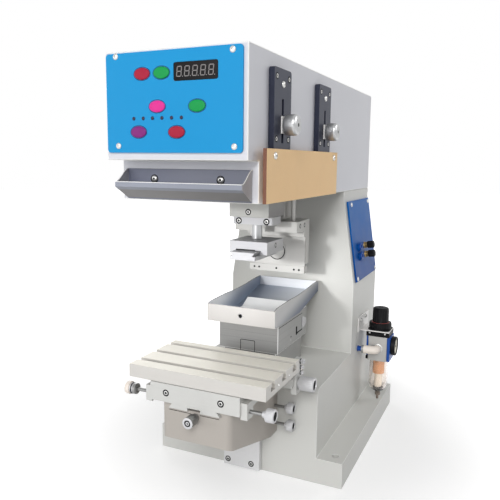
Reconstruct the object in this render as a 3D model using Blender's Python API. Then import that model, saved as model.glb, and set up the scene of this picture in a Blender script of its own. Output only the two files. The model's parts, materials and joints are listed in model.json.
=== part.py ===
# Desktop pad printing machine: C-shaped housing, shuttle head, ink tray and cross-slide work table.
# Metres, +Z up. The front of the machine faces -Y, and the right-hand side is +X.
# The origin is the centre of the base's underside.

import bpy
import bmesh
from math import cos, sin, pi, radians, atan2

# Whole machine
seat_gap = 0.0003            # between pieces that rest on each other
running_gap = 0.0004         # round a shaft, a rod or a slide that moves
cut_over = 0.002             # how far a cutter runs past the face that it cuts
round_sides = 32
small_sides = 20
arc_steps = 5                # points along a quarter round

# Base and column, one welded housing
base_width = 0.230
base_length = 0.350
base_height = 0.147
base_edge_radius = 0.010
flange_reach = 0.040         # out from the base's side
flange_height = 0.0395
flange_hole_radius = 0.0055
flange_hole_from_edge = 0.016
flange_hole_from_end = 0.020
housing_wall = 0.006
throat_depth = 0.183         # from the base's front to the column's
tray_to_head = 0.1551        # from the ink tray's rim to the head's underside
column_bend_share = 0.4326   # of the column's height: where the sides start to slant in
column_slant_share = 0.5148  # of the column's height: the slanted stretch
cable_hole_radius = 0.020
rear_cover_thickness = 0.003

# Head casing
head_width = 0.187
head_height = 0.173
head_reach = 0.203           # how far the control box stands out in front of the base
head_step_depth = 0.030
head_step_height = 0.0485
head_sheet = 0.0025

# Control panel on the head's front
panel_left_margin = 0.0025
panel_right_margin = 0.0055
panel_bottom_margin = 0.0085
panel_top_margin = 0.0025
panel_thickness = 0.002
panel_corner_radius = 0.004
display_width = 0.0565
display_height = 0.0205
display_corner_radius = 0.0025
display_centre_shares = (0.676, 0.786)
button_width = 0.0216
button_height = 0.0138
button_proud = 0.0005
button_travel = 0.0005
button_centre_shares = {
    "button_red_upper": (0.283, 0.784),
    "button_green_upper": (0.430, 0.784),
    "button_pink_middle": (0.395, 0.459),
    "button_green_middle": (0.687, 0.453),
    "button_purple_lower": (0.251, 0.209),
    "button_red_lower": (0.538, 0.204),
}

# Control board behind the panel
board_side_gap = 0.011
board_end_gap = 0.01175
board_thickness = 0.0016
board_post_length = 0.010
board_post_radius = 0.003
board_post_inset = 0.008

# Parts bin on the head's lower front
bin_width = 0.171
bin_depth = 0.0275
bin_back_height = 0.0377
bin_lip_height = 0.0217
bin_fold_height = 0.0157
bin_sheet = 0.0015
bin_from_head_bottom = 0.0008
bin_curve_steps = 8

# Phenolic guard plate on the right of the head
guard_thickness = 0.0047
guard_length = 0.273
guard_height = 0.062
guard_from_head_front = 0.0224
guard_standoff = 0.0078
guard_boss_radius = 0.005
guard_boss_from_end = 0.0240
guard_boss_far_from_end = 0.0190
guard_boss_from_top = 0.008

# Stroke setting on the right of the head: slotted plates, sliders and clamp knobs
slot_plate_width = 0.054
slot_plate_thickness = 0.0072
slot_plate_top_gap = 0.0175  # below the head's top
slot_plate_rise = 0.061      # above the head's bottom
slot_plate_corner = 0.004
slot_plate_places = (0.0804, 0.2441)    # behind the head's front
slot_width = 0.006
slot_end_gap = 0.009         # from the plate's lower end
slot_top_share = 0.635       # of the plate's height
slider_width = 0.014
slider_height = 0.020
slider_thickness = 0.002
slider_tongue_height = 0.012
slider_rise = 0.021          # centre above the slot's lower end
stroke_knob_radius = 0.0125
stroke_knob_length = 0.0175

# Guide rods and shuttle drive inside the head
rod_radius = 0.008
rod_rise = 0.031             # above the head's bottom
rod_mount_thickness = 0.012
rod_mount_height = 0.056
rod_mount_rise = 0.003
shuttle_tube_radius = 0.020
shuttle_bore_radius = 0.016
shuttle_tube_gap = 0.0328    # behind the carriage
shuttle_tube_wall = 0.010
shuttle_rod_radius = 0.006
piston_length = 0.012

# Carriage
carriage_front_gap = 0.0094  # in front of the pad cylinder
carriage_length = 0.1394
carriage_side_gap = 0.013    # to the head's side
carriage_plate = 0.010
carriage_rise = 0.0015
bearing_pin_gap = 0.00175    # from a lift pin to the bearing block
bearing_height = 0.0455
tab_width = 0.024
tab_thickness = 0.010
blade_block_width = 0.060
blade_block_depth = 0.038
blade_block_drop = 0.0405    # below the carriage plate
blade_block_cap = 0.0076

# Print head: pad cylinder, rod, holder block and pad plate
pad_axis_setback = 0.0334    # behind the base's front
pad_cylinder_width = 0.064
pad_cylinder_depth = 0.062
holder_overhang = 0.001      # past the cylinder, front and back
pad_cylinder_drop = 0.0335   # below the head's bottom
pad_cylinder_cap = 0.007      # over the bore
pad_bore_radius = 0.016
pad_bore_room = 0.0031       # over the piston
end_plate_depth = 0.034
end_plate_height = 0.012
pad_rod_radius = 0.008
pad_piston_spare = 0.0084    # under the piston at full stroke
pad_stroke = 0.060
holder_width = 0.062
holder_height = 0.0191
holder_drop = 0.0236         # from the end plate's underside to the block's top
dovetail_depth = 0.0057
dovetail_top_width = 0.0410
dovetail_neck_width = 0.0330
pad_plate_width = 0.0408
pad_plate_thickness = 0.0063
pad_plate_overhang = 0.021

# Blade head behind the print head
blade_bar_width = 0.1056
blade_bar_depth = 0.0429
blade_bar_height = 0.0168
blade_bar_drop = 0.044       # top of the bar below the head's bottom
blade_bar_clearance = 0.0006 # behind the pad holder block
blade_back_width = 0.099
blade_back_depth = 0.0257
blade_back_thickness = 0.0157
blade_back_height = 0.074
blade_strip_depth = 0.010
blade_strip_height = 0.0112
guide_pin_radius = 0.00375
guide_pin_spacing = 0.077
guide_pin_spare = 0.0155     # above the carriage at full travel
guide_pin_setback = 0.0204   # behind the bar's front
blade_rod_radius = 0.005
blade_rod_spare = 0.018      # inside its cylinder at full travel
blade_travel = 0.036
blade_plate_width = 0.098
blade_plate_thickness = 0.002
blade_plate_height = 0.048
blade_plate_drop = 0.0302    # top of the plate below the bar's top
blade_flange_depth = 0.0146
blade_flange_height = 0.0115
blade_flange_proud = 0.002
blade_hole_radius = 0.00175
blade_hole_shares = (-0.82, -0.64, 0.0, 0.64, 0.82)   # of the flange's half width
pivot_radius = 0.0147
pivot_proud = 0.0012
pivot_share = 0.585          # up the blade plate
blade_thickness = 0.001
blade_width = 0.096
blade_height = 0.013
blade_proud = 0.0017

# Ink tray, cliche bed and pedestal
tray_width = 0.111
tray_rear_gap = 0.0099       # to the column
tray_overhang = 0.0242       # in front of the base
tray_height = 0.035
tray_front_height = 0.0255
tray_sheet = 0.002
tray_flat_share = 0.53       # share of the length that has a level floor
tray_tail_rise = 0.0171
tray_hole_radius = 0.0035
tray_side_shares = ((0.0, 0.0), (0.05, 0.26), (0.28, 0.42), (0.50, 0.40), (0.68, 0.58), (0.88, 0.93), (1.0, 1.0))
bed_width = 0.072
bed_front_gap = 0.0070
bed_rear_gap = 0.0006        # to where the tray's floor starts to rise
bed_ramp_length = 0.022
bed_height = 0.0037
bed_ramp_height = 0.0145
pedestal_width = 0.099
pedestal_length = 0.1270
pedestal_setback = 0.0039
pedestal_height = 0.089
pedestal_foot_height = 0.0412
pedestal_foot_inset = 0.0060

# Work table
table_width = 0.201
table_depth = 0.117
table_thickness = 0.0183
table_gap_to_base = 0.0436
slot_count = 3
slot_pitch = 0.038
slot_row_offset = 0.003
slot_neck_width = 0.008
slot_neck_depth = 0.005
slot_room_width = 0.014
slot_room_height = 0.006

# Saddle under the table
saddle_width = 0.132
saddle_height = 0.0253
saddle_front_overhang = 0.0011
saddle_lug_length = 0.009
saddle_lug_depth = 0.018
saddle_lug_height = 0.022
saddle_lug_drop = 0.0041     # below the saddle block
saddle_lug_setback = 0.003
saddle_dovetail_width = 0.076
saddle_dovetail_neck = 0.066
saddle_dovetail_height = 0.0066
saddle_notch_width = 0.019
saddle_notch_height = 0.0045
ear_thickness = 0.008
ear_outer = 0.0955           # from the centre plane
ear_depth = 0.022
ear_height = 0.049
ear_drop = 0.0106            # below the saddle block
ear_gap = 0.004              # behind the table
ear_arm_height = 0.0140

# Feed screws and thumb screws
x_screw_radius = 0.0025
x_screw_setback = 0.0120     # behind the saddle's front
x_screw_rise = 0.0049        # above the saddle block's underside
x_knob_radius = 0.0088
x_knob_length = 0.0175
x_left_reach = 0.112
x_right_reach = 0.109
y_screw_radius = 0.0035
y_screw_drop = 0.0145        # below the knee's top
y_knob_radius = 0.0075
y_knob_length = 0.015
y_collar_radius = 0.0055
y_collar_length = 0.006
socket_radius = 0.003
socket_depth = 0.005
y_screw_end_gap = 0.0229     # in front of the rail
rear_screw_radius = 0.004
rear_screw_rise = 0.0145     # above the ear's underside
rear_screw_length = 0.024
rear_knob_radius = 0.0105
rear_knob_length = 0.0237

# Knee and its rail
knee_width = 0.1034
knee_reach = 0.1566          # in front of the base
knee_height = 0.089
knee_bottom = 0.071
knee_front_rise = 0.0385
knee_flat_length = 0.025
knee_corner_radius = 0.008
knee_pocket_width = 0.080
knee_pocket_wall = 0.012
knee_pocket_rear_wall = 0.020
knee_pocket_roof = 0.022
rail_left = 0.034
rail_right = 0.027
rail_thickness = 0.0087
rail_bottom = 0.002
rail_height = 0.143
clamp_knob_gap = 0.001       # to the base
clamp_heights = {"knee_clamp_upper": 0.0437, "knee_clamp_lower": 0.0168}    # above the knee's bottom
clamp_shaft_radius = 0.0022
clamp_tip_gap = 0.0027       # to the rail
clamp_neck_length = 0.0165
clamp_collar_radius = 0.0045
clamp_collar_length = 0.0035
clamp_knob_radius = 0.0085
clamp_knob_length = 0.0105

# Service panel and flow valves on the column's right side
service_thickness = 0.003
service_front_inset = 0.0125 # behind the column's front
service_rear_inset = 0.0085
service_bottom_share = 0.012
service_top_share = 0.975
service_row_shares = (0.40, 0.287)
socket_boss_radius = 0.007
socket_boss_length = 0.004
socket_boss_share = 0.245    # along the panel
valve_share = 0.525
valve_stem_radius = 0.006
valve_stem_length = 0.006
valve_knob_radius = 0.0065
valve_knob_length = 0.012

# Filter regulator
regulator_standoff = 0.033   # axis from the column's side
regulator_setback = 0.077    # behind the column's front
drain_rise = 0.0025          # above the flange
regulator_body_width = 0.0333
regulator_body_depth = 0.037
regulator_body_height = 0.0457
bonnet_width = 0.041
bonnet_height = 0.0083
bonnet_neck_radius = 0.0145
bonnet_skirt_radius = 0.0195
bonnet_skirt_height = 0.0126
bracket_sheet = 0.0018
bracket_slack = 0.0003
bracket_width = 0.076
bracket_arm_width = 0.042
bracket_height = 0.024
bracket_arm_reach = 0.053
regulator_knob_radius = 0.0147
regulator_knob_height = 0.0265
cover_thickness = 0.0052
cover_inset = 0.001
gauge_radius = 0.0172
gauge_length = 0.0083
gauge_rise = 0.0272          # above the body's underside
bowl_radius = 0.0165
bowl_length = 0.0604
bowl_wall = 0.002
bowl_taper = 0.016
bowl_neck_radius = 0.0062
element_radius = 0.0105
element_length = 0.0267
baffle_radius = 0.007
baffle_reach = 0.0085        # below the bowl's shoulder
drain_radius = 0.0048
drain_length = 0.0165
elbow_base_radius = 0.0095
elbow_base_length = 0.003
elbow_radius = 0.0065
elbow_reach = 0.012          # in front of the body
elbow_rise = 0.0232          # above the body's underside
tube_stub_length = 0.0072    # outside the base's side
collar_radius = 0.007
collar_length = 0.004
tube_radius = 0.004

# Valve block on the base's floor
valve_block_width = 0.120
valve_block_depth = 0.060
valve_block_height = 0.038
valve_body_count = 3
valve_body_width = 0.022
valve_body_depth = 0.080
valve_body_height = 0.046

# Places worked out from the sizes above
base_half = base_width / 2
flange_half = base_half + flange_reach
base_front = -base_length / 2
base_rear = base_length / 2
column_front = base_front + throat_depth
column_middle = (column_front + base_rear) / 2
pedestal_bottom = base_height + seat_gap
pedestal_top = pedestal_bottom + pedestal_height
tray_bottom = pedestal_top + seat_gap
column_top = tray_bottom + tray_height + tray_to_head
column_height = column_top - base_height
column_slant = column_height * column_slant_share
bend_height = base_height + column_height * column_bend_share
slant_top = bend_height + column_slant
head_half = head_width / 2
head_front = base_front - head_reach
head_lower_front = head_front + head_step_depth
head_bottom = column_top + seat_gap
head_step = head_bottom + head_step_height
head_top = head_bottom + head_height
slot_plate_low = head_bottom + slot_plate_rise
slot_plate_high = head_top - slot_plate_top_gap
slot_low = slot_plate_low + slot_end_gap
slot_high = slot_plate_low + (slot_plate_high - slot_plate_low) * slot_top_share
panel_back = head_front - seat_gap
panel_front = panel_back - panel_thickness
panel_left = -head_half + panel_left_margin
panel_right = head_half - panel_right_margin
panel_bottom = head_step + panel_bottom_margin
panel_top = head_top - panel_top_margin
rod_height = head_bottom + rod_rise
carriage_half = head_half - head_sheet - carriage_side_gap
bearing_inner = guide_pin_spacing / 2 + guide_pin_radius + bearing_pin_gap
rod_x = (bearing_inner + carriage_half) / 2
pad_axis_y = base_front + pad_axis_setback
pad_cylinder_bottom = head_bottom - pad_cylinder_drop
end_plate_top = pad_cylinder_bottom - seat_gap
end_plate_bottom = end_plate_top - end_plate_height
holder_top = end_plate_bottom - holder_drop
holder_bottom = holder_top - holder_height
holder_depth = pad_cylinder_depth + 2 * holder_overhang
pad_piston_low = pad_cylinder_bottom + pad_stroke + pad_piston_spare
pad_bore_top = pad_piston_low + piston_length + pad_bore_room
carriage_front = pad_axis_y - pad_cylinder_depth / 2 - carriage_front_gap
carriage_rear = carriage_front + carriage_length
carriage_bottom = head_bottom + carriage_rise
blade_bar_front = pad_axis_y + holder_depth / 2 + blade_bar_clearance
blade_bar_rear = blade_bar_front + blade_bar_depth
blade_bar_top = head_bottom - blade_bar_drop
guide_pin_y = blade_bar_front + guide_pin_setback
block_bottom = carriage_bottom - blade_block_drop
blade_rod_top = block_bottom + blade_travel + blade_rod_spare
guide_pin_top = carriage_bottom + carriage_plate + blade_travel + guide_pin_spare
blade_back_rear = blade_bar_rear + blade_back_depth
blade_back_front = blade_back_rear - blade_back_thickness
blade_back_bottom = blade_bar_top - blade_back_height
pedestal_front = base_front + pedestal_setback
tray_front = base_front - tray_overhang
tray_rear = column_front - tray_rear_gap
tray_flat_end = tray_front + (tray_rear - tray_front) * tray_flat_share
knee_top = knee_bottom + knee_height
knee_front = base_front - knee_reach
knee_rear = base_front - seat_gap
clamp_y = base_front - clamp_knob_radius - clamp_knob_gap
clamp_tip = rail_right + clamp_tip_gap
saddle_bottom = knee_top + running_gap
saddle_top = saddle_bottom + saddle_height
table_bottom = saddle_top + running_gap
table_top = table_bottom + table_thickness
table_rear = base_front - table_gap_to_base
table_front = table_rear - table_depth
saddle_front = table_front - saddle_front_overhang
x_screw_y = saddle_front + x_screw_setback
x_screw_height = saddle_bottom + x_screw_rise
y_screw_height = knee_top - y_screw_drop
y_screw_end = base_front - rail_thickness - y_screw_end_gap
ear_front = table_rear + ear_gap
ear_bottom = saddle_bottom - ear_drop
rear_screw_y = ear_front + ear_depth / 2
rear_screw_height = ear_bottom + rear_screw_rise
regulator_x = base_half + regulator_standoff
regulator_y = column_front + regulator_setback
drain_top = flange_height + drain_rise + drain_length
bowl_low = drain_top + seat_gap
bowl_shoulder = bowl_low + bowl_taper
bowl_top = bowl_low + bowl_length
regulator_bottom = bowl_top + seat_gap
regulator_top = regulator_bottom + regulator_body_height
bonnet_bottom = regulator_top + seat_gap
bonnet_plate_top = bonnet_bottom + bonnet_height
bracket_arm_bottom = bonnet_plate_top + bracket_slack
skirt_bottom = bracket_arm_bottom + bracket_sheet + bracket_slack
skirt_top = skirt_bottom + bonnet_skirt_height
slant_angle = atan2(base_half - head_half, column_slant)

# Finishes: colour, roughness, metallic
finishes = {
    "grey paint": ((0.52, 0.52, 0.50), 0.45, 0.0),
    "cool grey paint": ((0.46, 0.47, 0.50), 0.42, 0.0),
    "bin grey": ((0.30, 0.31, 0.36), 0.50, 0.1),
    "panel blue": ((0.012, 0.33, 0.70), 0.30, 0.0),
    "service blue": ((0.02, 0.11, 0.34), 0.28, 0.0),
    "display black": ((0.01, 0.01, 0.012), 0.15, 0.0),
    "key red": ((0.62, 0.02, 0.07), 0.35, 0.0),
    "key green": ((0.02, 0.45, 0.10), 0.35, 0.0),
    "key pink": ((0.75, 0.06, 0.34), 0.35, 0.0),
    "key purple": ((0.40, 0.03, 0.22), 0.35, 0.0),
    "phenolic": ((0.66, 0.42, 0.24), 0.55, 0.0),
    "black oxide": ((0.05, 0.055, 0.075), 0.40, 0.6),
    "nickel": ((0.72, 0.72, 0.70), 0.28, 1.0),
    "bright steel": ((0.62, 0.62, 0.60), 0.25, 1.0),
    "bare aluminium": ((0.70, 0.70, 0.68), 0.35, 1.0),
    "satin plate": ((0.78, 0.77, 0.75), 0.38, 0.6),
    "brushed steel": ((0.42, 0.42, 0.40), 0.35, 1.0),
    "table white": ((0.74, 0.72, 0.64), 0.40, 0.2),
    "knee grey": ((0.42, 0.39, 0.35), 0.50, 0.1),
    "tray steel": ((0.72, 0.72, 0.74), 0.28, 0.8),
    "board green": ((0.02, 0.18, 0.07), 0.50, 0.0),
    "black plastic": ((0.02, 0.02, 0.022), 0.40, 0.0),
    "white plastic": ((0.80, 0.76, 0.70), 0.35, 0.0),
    "cover blue": ((0.02, 0.09, 0.36), 0.30, 0.0),
    "clear bowl": ((0.85, 0.72, 0.62), 0.10, 0.0),
    "filter orange": ((0.72, 0.36, 0.16), 0.60, 0.0),
    "brass": ((0.70, 0.52, 0.22), 0.30, 1.0),
}


def clear_scene():
    for thing in list(bpy.data.objects):
        bpy.data.objects.remove(thing, do_unlink=True)


def make_finish(name, finish):
    colour, roughness, metallic = finishes[finish]
    look = bpy.data.materials.new(name + " " + finish)
    look.use_nodes = True
    shader = look.node_tree.nodes["Principled BSDF"]
    shader.inputs["Base Color"].default_value = (*colour, 1.0)
    shader.inputs["Roughness"].default_value = roughness
    shader.inputs["Metallic"].default_value = metallic
    return look


def add_object(name, shape, finish=None):
    bmesh.ops.recalc_face_normals(shape, faces=shape.faces)
    mesh = bpy.data.meshes.new(name)
    shape.to_mesh(mesh)
    shape.free()
    thing = bpy.data.objects.new(name, mesh)
    bpy.context.collection.objects.link(thing)
    if finish:
        mesh.materials.append(make_finish(name, finish))
        mesh.shade_smooth()
        mesh.set_sharp_from_angle(angle=radians(35))
    else:
        thing.hide_render = True
        thing.display_type = 'WIRE'
    return thing


def combine(thing, tool, operation):
    step = thing.modifiers.new(operation.lower(), 'BOOLEAN')
    step.operation = operation
    step.solver = 'EXACT'
    step.object = tool
    return thing


def cut(thing, shape):
    return combine(thing, add_object(thing.name + "_cutter", shape), 'DIFFERENCE')


def join(thing, shape):
    return combine(thing, add_object(thing.name + "_piece", shape), 'UNION')


def set_origin(thing, point):
    # the object turns or slides about its own origin, and its tools stay where they are
    for corner in thing.data.vertices:
        corner.co = [value - start for value, start in zip(corner.co, point)]
    thing.location = point
    return thing


def on_axis(axis, along, first, second):
    if axis == 'X':
        return (along, first, second)
    if axis == 'Y':
        return (first, along, second)
    return (first, second, along)


def prism(outline, axis, low, high):
    # an outline in the two other axes, drawn out along the named axis
    shape = bmesh.new()
    ends = []
    for along in (low, high):
        ends.append([shape.verts.new(on_axis(axis, along, a, b)) for a, b in outline])
    count = len(outline)
    for index in range(count):
        after = (index + 1) % count
        shape.faces.new((ends[0][index], ends[0][after], ends[1][after], ends[1][index]))
    shape.faces.new(ends[0])
    shape.faces.new(ends[1])
    return shape


def box(x_span, y_span, z_span):
    outline = [(x, y) for x, y in zip((x_span[0], x_span[1], x_span[1], x_span[0]),
                                      (y_span[0], y_span[0], y_span[1], y_span[1]))]
    return prism(outline, 'Z', *z_span)


def turned(profile, axis, centre, sides=round_sides, hollow=False):
    # a profile of (place along the axis, radius) spun about the axis; hollow closes it on itself
    shape = bmesh.new()
    rings = []
    for along, radius in profile:
        if radius == 0:
            rings.append([shape.verts.new(on_axis(axis, along, *centre))])
            continue
        ring = []
        for index in range(sides):
            turn = 2 * pi * index / sides
            place = (centre[0] + radius * cos(turn), centre[1] + radius * sin(turn))
            ring.append(shape.verts.new(on_axis(axis, along, *place)))
        rings.append(ring)
    pairs = list(zip(rings, rings[1:]))
    if hollow:
        pairs.append((rings[-1], rings[0]))
    for near, far in pairs:
        for index in range(sides):
            after = (index + 1) % sides
            corners = [near[index % len(near)], near[after % len(near)],
                       far[after % len(far)], far[index % len(far)]]
            shape.faces.new(dict.fromkeys(corners))
    if not hollow:
        for ring in (rings[0], rings[-1]):
            if len(ring) > 1:
                shape.faces.new(ring)
    return shape


def rod(axis, centre, radius, low, high, sides=small_sides):
    return turned([(low, radius), (high, radius)], axis, centre, sides)


def span(centre, width):
    return (centre - width / 2, centre + width / 2)


def arc(centre, radius, start, end, steps=arc_steps):
    points = []
    for index in range(steps + 1):
        turn = radians(start + (end - start) * index / steps)
        points.append((centre[0] + radius * cos(turn), centre[1] + radius * sin(turn)))
    return points


def rounded(a_span, b_span, radius):
    # a rectangle with four round corners
    low_a, high_a = a_span[0] + radius, a_span[1] - radius
    low_b, high_b = b_span[0] + radius, b_span[1] - radius
    return (arc((high_a, low_b), radius, -90, 0) + arc((high_a, high_b), radius, 0, 90)
            + arc((low_a, high_b), radius, 90, 180) + arc((low_a, low_b), radius, 180, 270))


def oval(centre, width, height):
    points = []
    for index in range(small_sides):
        turn = 2 * pi * index / small_sides
        points.append((centre[0] + width / 2 * cos(turn), centre[1] + height / 2 * sin(turn)))
    return points


def smooth(share):
    return share * share * (3 - 2 * share)


def blend(low, high, share):
    return low + (high - low) * share


# Housing

def column_hollow(inset):
    # front view of the housing's inside, drawn in by an inset, from the floor to the column's top
    wide = base_half - housing_wall - inset
    narrow = head_half - housing_wall - inset
    floor = housing_wall + inset
    roof = column_top - housing_wall - inset
    return [(-wide, floor), (wide, floor), (wide, bend_height), (narrow, slant_top), (narrow, roof),
            (-narrow, roof), (-narrow, slant_top), (-wide, bend_height)]


def build_housing():
    right_side = [(flange_half, 0), (flange_half, flange_height), (base_half, flange_height),
                  (base_half, bend_height), (head_half, slant_top), (head_half, column_top)]
    left_side = [(-x, z) for x, z in reversed(right_side)]
    housing = add_object("machine_housing", prism(right_side + left_side, 'Y', base_front, base_rear),
                         "grey paint")
    all_across = (-flange_half - cut_over, flange_half + cut_over)
    cut(housing, box(all_across, (base_front - cut_over, column_front),
                     (base_height, column_top + cut_over)))
    edge_centre = (base_front + base_edge_radius, base_height - base_edge_radius)
    edge = arc(edge_centre, base_edge_radius, 180, 90)
    edge += [(edge_centre[0], base_height + cut_over), (base_front - cut_over, base_height + cut_over),
             (base_front - cut_over, edge_centre[1])]
    cut(housing, prism(edge, 'X', -base_half - cut_over, base_half + cut_over))
    inside = base_half - housing_wall
    cut(housing, box((-inside, inside), (base_front + housing_wall, base_rear + cut_over),
                     (housing_wall, base_height - housing_wall)))
    cut(housing, prism(column_hollow(0), 'Y', column_front + housing_wall, base_rear + cut_over))
    cut(housing, rod('Z', (0, column_middle), cable_hole_radius,
                     column_top - housing_wall - cut_over, column_top + cut_over))
    for side in (-1, 1):
        hole_x = side * (flange_half - flange_hole_from_edge)
        for hole_y in (base_front + flange_hole_from_end, base_rear - flange_hole_from_end):
            cut(housing, rod('Z', (hole_x, hole_y), flange_hole_radius, -cut_over, flange_height + cut_over))
    return housing


def build_rear_cover():
    return add_object("rear_cover", prism(column_hollow(seat_gap), 'Y', base_rear - rear_cover_thickness,
                                          base_rear), "grey paint")


def build_valve_block():
    # manifold with three solenoid valves, on the base's floor
    low = housing_wall + seat_gap
    top = low + valve_block_height
    block = add_object("valve_block", box(span(0, valve_block_width), span(0, valve_block_depth), (low, top)),
                       "bare aluminium")
    pitch = valve_block_width / valve_body_count
    for index in range(valve_body_count):
        centre = (index - (valve_body_count - 1) / 2) * pitch
        join(block, box(span(centre, valve_body_width), span(0, valve_body_depth),
                        (top - cut_over, top + valve_body_height)))
    return block


# Head casing, control panel and what is fixed to them

def head_outline(inset):
    # side view of the head, drawn in by the sheet's thickness
    return [(head_front + inset, head_step + inset), (head_front + inset, head_top - inset),
            (base_rear - inset, head_top - inset), (base_rear - inset, head_bottom),
            (head_lower_front + inset, head_bottom), (head_lower_front + inset, head_step + inset)]


def build_head_casing():
    casing = add_object("head_casing", prism(head_outline(0), 'X', -head_half, head_half), "cool grey paint")
    inside = head_outline(head_sheet)
    inside[3] = (inside[3][0], head_bottom - cut_over)
    inside[4] = (inside[4][0], head_bottom - cut_over)
    cut(casing, prism(inside, 'X', -head_half + head_sheet, head_half - head_sheet))
    return casing


def on_panel(shares):
    return (blend(panel_left, panel_right, shares[0]), blend(panel_bottom, panel_top, shares[1]))


def build_control_panel():
    outline = rounded((panel_left, panel_right), (panel_bottom, panel_top), panel_corner_radius)
    panel = add_object("control_panel", prism(outline, 'Y', panel_front, panel_back), "panel blue")
    through = (panel_front - cut_over, panel_back + cut_over)
    centre = on_panel(display_centre_shares)
    cut(panel, prism(rounded(span(centre[0], display_width), span(centre[1], display_height),
                             display_corner_radius), 'Y', *through))
    for shares in button_centre_shares.values():
        cut(panel, prism(oval(on_panel(shares), button_width, button_height), 'Y', *through))
    return panel


def build_display_window():
    centre = on_panel(display_centre_shares)
    outline = rounded(span(centre[0], display_width - 2 * seat_gap), span(centre[1], display_height - 2 * seat_gap),
                      display_corner_radius - seat_gap)
    return add_object("display_window", prism(outline, 'Y', panel_front, panel_back), "display black")


def build_buttons():
    key_front = panel_front - button_proud
    for name, shares in button_centre_shares.items():
        centre = on_panel(shares)
        outline = oval(centre, button_width - 2 * seat_gap, button_height - 2 * seat_gap)
        key = add_object(name, prism(outline, 'Y', key_front, panel_back - button_travel),
                         "key " + name.split("_")[1])
        set_origin(key, (centre[0], key_front, centre[1]))


def build_control_board():
    back = head_front + head_sheet + seat_gap + board_post_length
    middle = (head_step + head_top) / 2
    board_width = head_width - 2 * (head_sheet + board_side_gap)
    board_height = head_top - head_step - 2 * (head_sheet + board_end_gap)
    board = add_object("control_board", box(span(0, board_width), (back, back + board_thickness),
                                            span(middle, board_height)), "board green")
    for side in (-1, 1):
        for level in (-1, 1):
            place = (side * (board_width / 2 - board_post_inset),
                     middle + level * (board_height / 2 - board_post_inset))
            join(board, rod('Y', place, board_post_radius, back - board_post_length,
                            back + board_thickness / 2, small_sides))
    return board


def build_parts_bin():
    back = head_lower_front - seat_gap
    front = back - bin_depth
    low = head_bottom + bin_from_head_bottom
    lip = low + bin_lip_height
    top = low + bin_back_height
    outline = [(back, low), (front, low + bin_fold_height)]
    for index in range(bin_curve_steps + 1):
        share = index / bin_curve_steps
        outline.append((blend(front, back, share), blend(lip, top, smooth(share))))
    tray = add_object("parts_bin", prism(outline, 'X', *span(0, bin_width)), "bin grey")
    room = [(back - bin_sheet, low + 2 * bin_sheet), (front + bin_sheet, low + bin_fold_height + bin_sheet),
            (front + bin_sheet, top + cut_over), (back - bin_sheet, top + cut_over)]
    cut(tray, prism(room, 'X', *span(0, bin_width - 2 * bin_sheet)))
    return tray


def build_guard_plate():
    inner = head_half + guard_standoff
    front = head_front + guard_from_head_front
    low = head_bottom + bin_from_head_bottom
    guard = add_object("guard_plate", box((inner, inner + guard_thickness), (front, front + guard_length),
                                          (low, low + guard_height)), "phenolic")
    height = low + guard_height - guard_boss_from_top
    for place in (front + guard_boss_from_end, front + guard_length - guard_boss_far_from_end):
        join(guard, rod('X', (place, height), guard_boss_radius, head_half + seat_gap,
                        inner + guard_thickness / 2))
    return guard


# Stroke setting

def build_stroke_setting(name, place):
    inner = head_half + seat_gap
    outer = inner + slot_plate_thickness
    centre = head_front + place
    outline = rounded(span(centre, slot_plate_width), (slot_plate_low, slot_plate_high), slot_plate_corner)
    plate = add_object("stroke_plate_" + name, prism(outline, 'X', inner, outer), "black oxide")
    through = (inner - cut_over, outer + cut_over)
    cut(plate, box(through, span(centre, slot_width), (slot_low, slot_high)))

    height = slot_low + slider_rise
    face = outer + running_gap
    slider = add_object("stroke_slider_" + name,
                        box((face, face + slider_thickness), span(centre, slider_width),
                            span(height, slider_height)), "nickel")
    tongue_width = slot_width - 2 * running_gap
    set_origin(slider, (face, centre, height))
    join(slider, box((inner + running_gap, face + slider_thickness / 2), span(centre, tongue_width),
                     span(height, slider_tongue_height)))

    start = face + slider_thickness + seat_gap
    chamfer = stroke_knob_radius / 10
    profile = [(start, 0), (start, stroke_knob_radius - 2 * chamfer), (start + chamfer, stroke_knob_radius),
               (start + stroke_knob_length - chamfer, stroke_knob_radius),
               (start + stroke_knob_length, stroke_knob_radius - 2 * chamfer), (start + stroke_knob_length, 0)]
    knob = add_object("stroke_knob_" + name, turned(profile, 'X', (centre, height)), "bright steel")
    set_origin(knob, (start, centre, height))


# Guide rods, shuttle cylinder and carriage

def build_rod_mount(name, low, high):
    half = head_half - head_sheet - seat_gap
    bottom = head_bottom + rod_mount_rise
    return add_object(name, box((-half, half), (low, high), (bottom, bottom + rod_mount_height)),
                      "bare aluminium")


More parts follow.
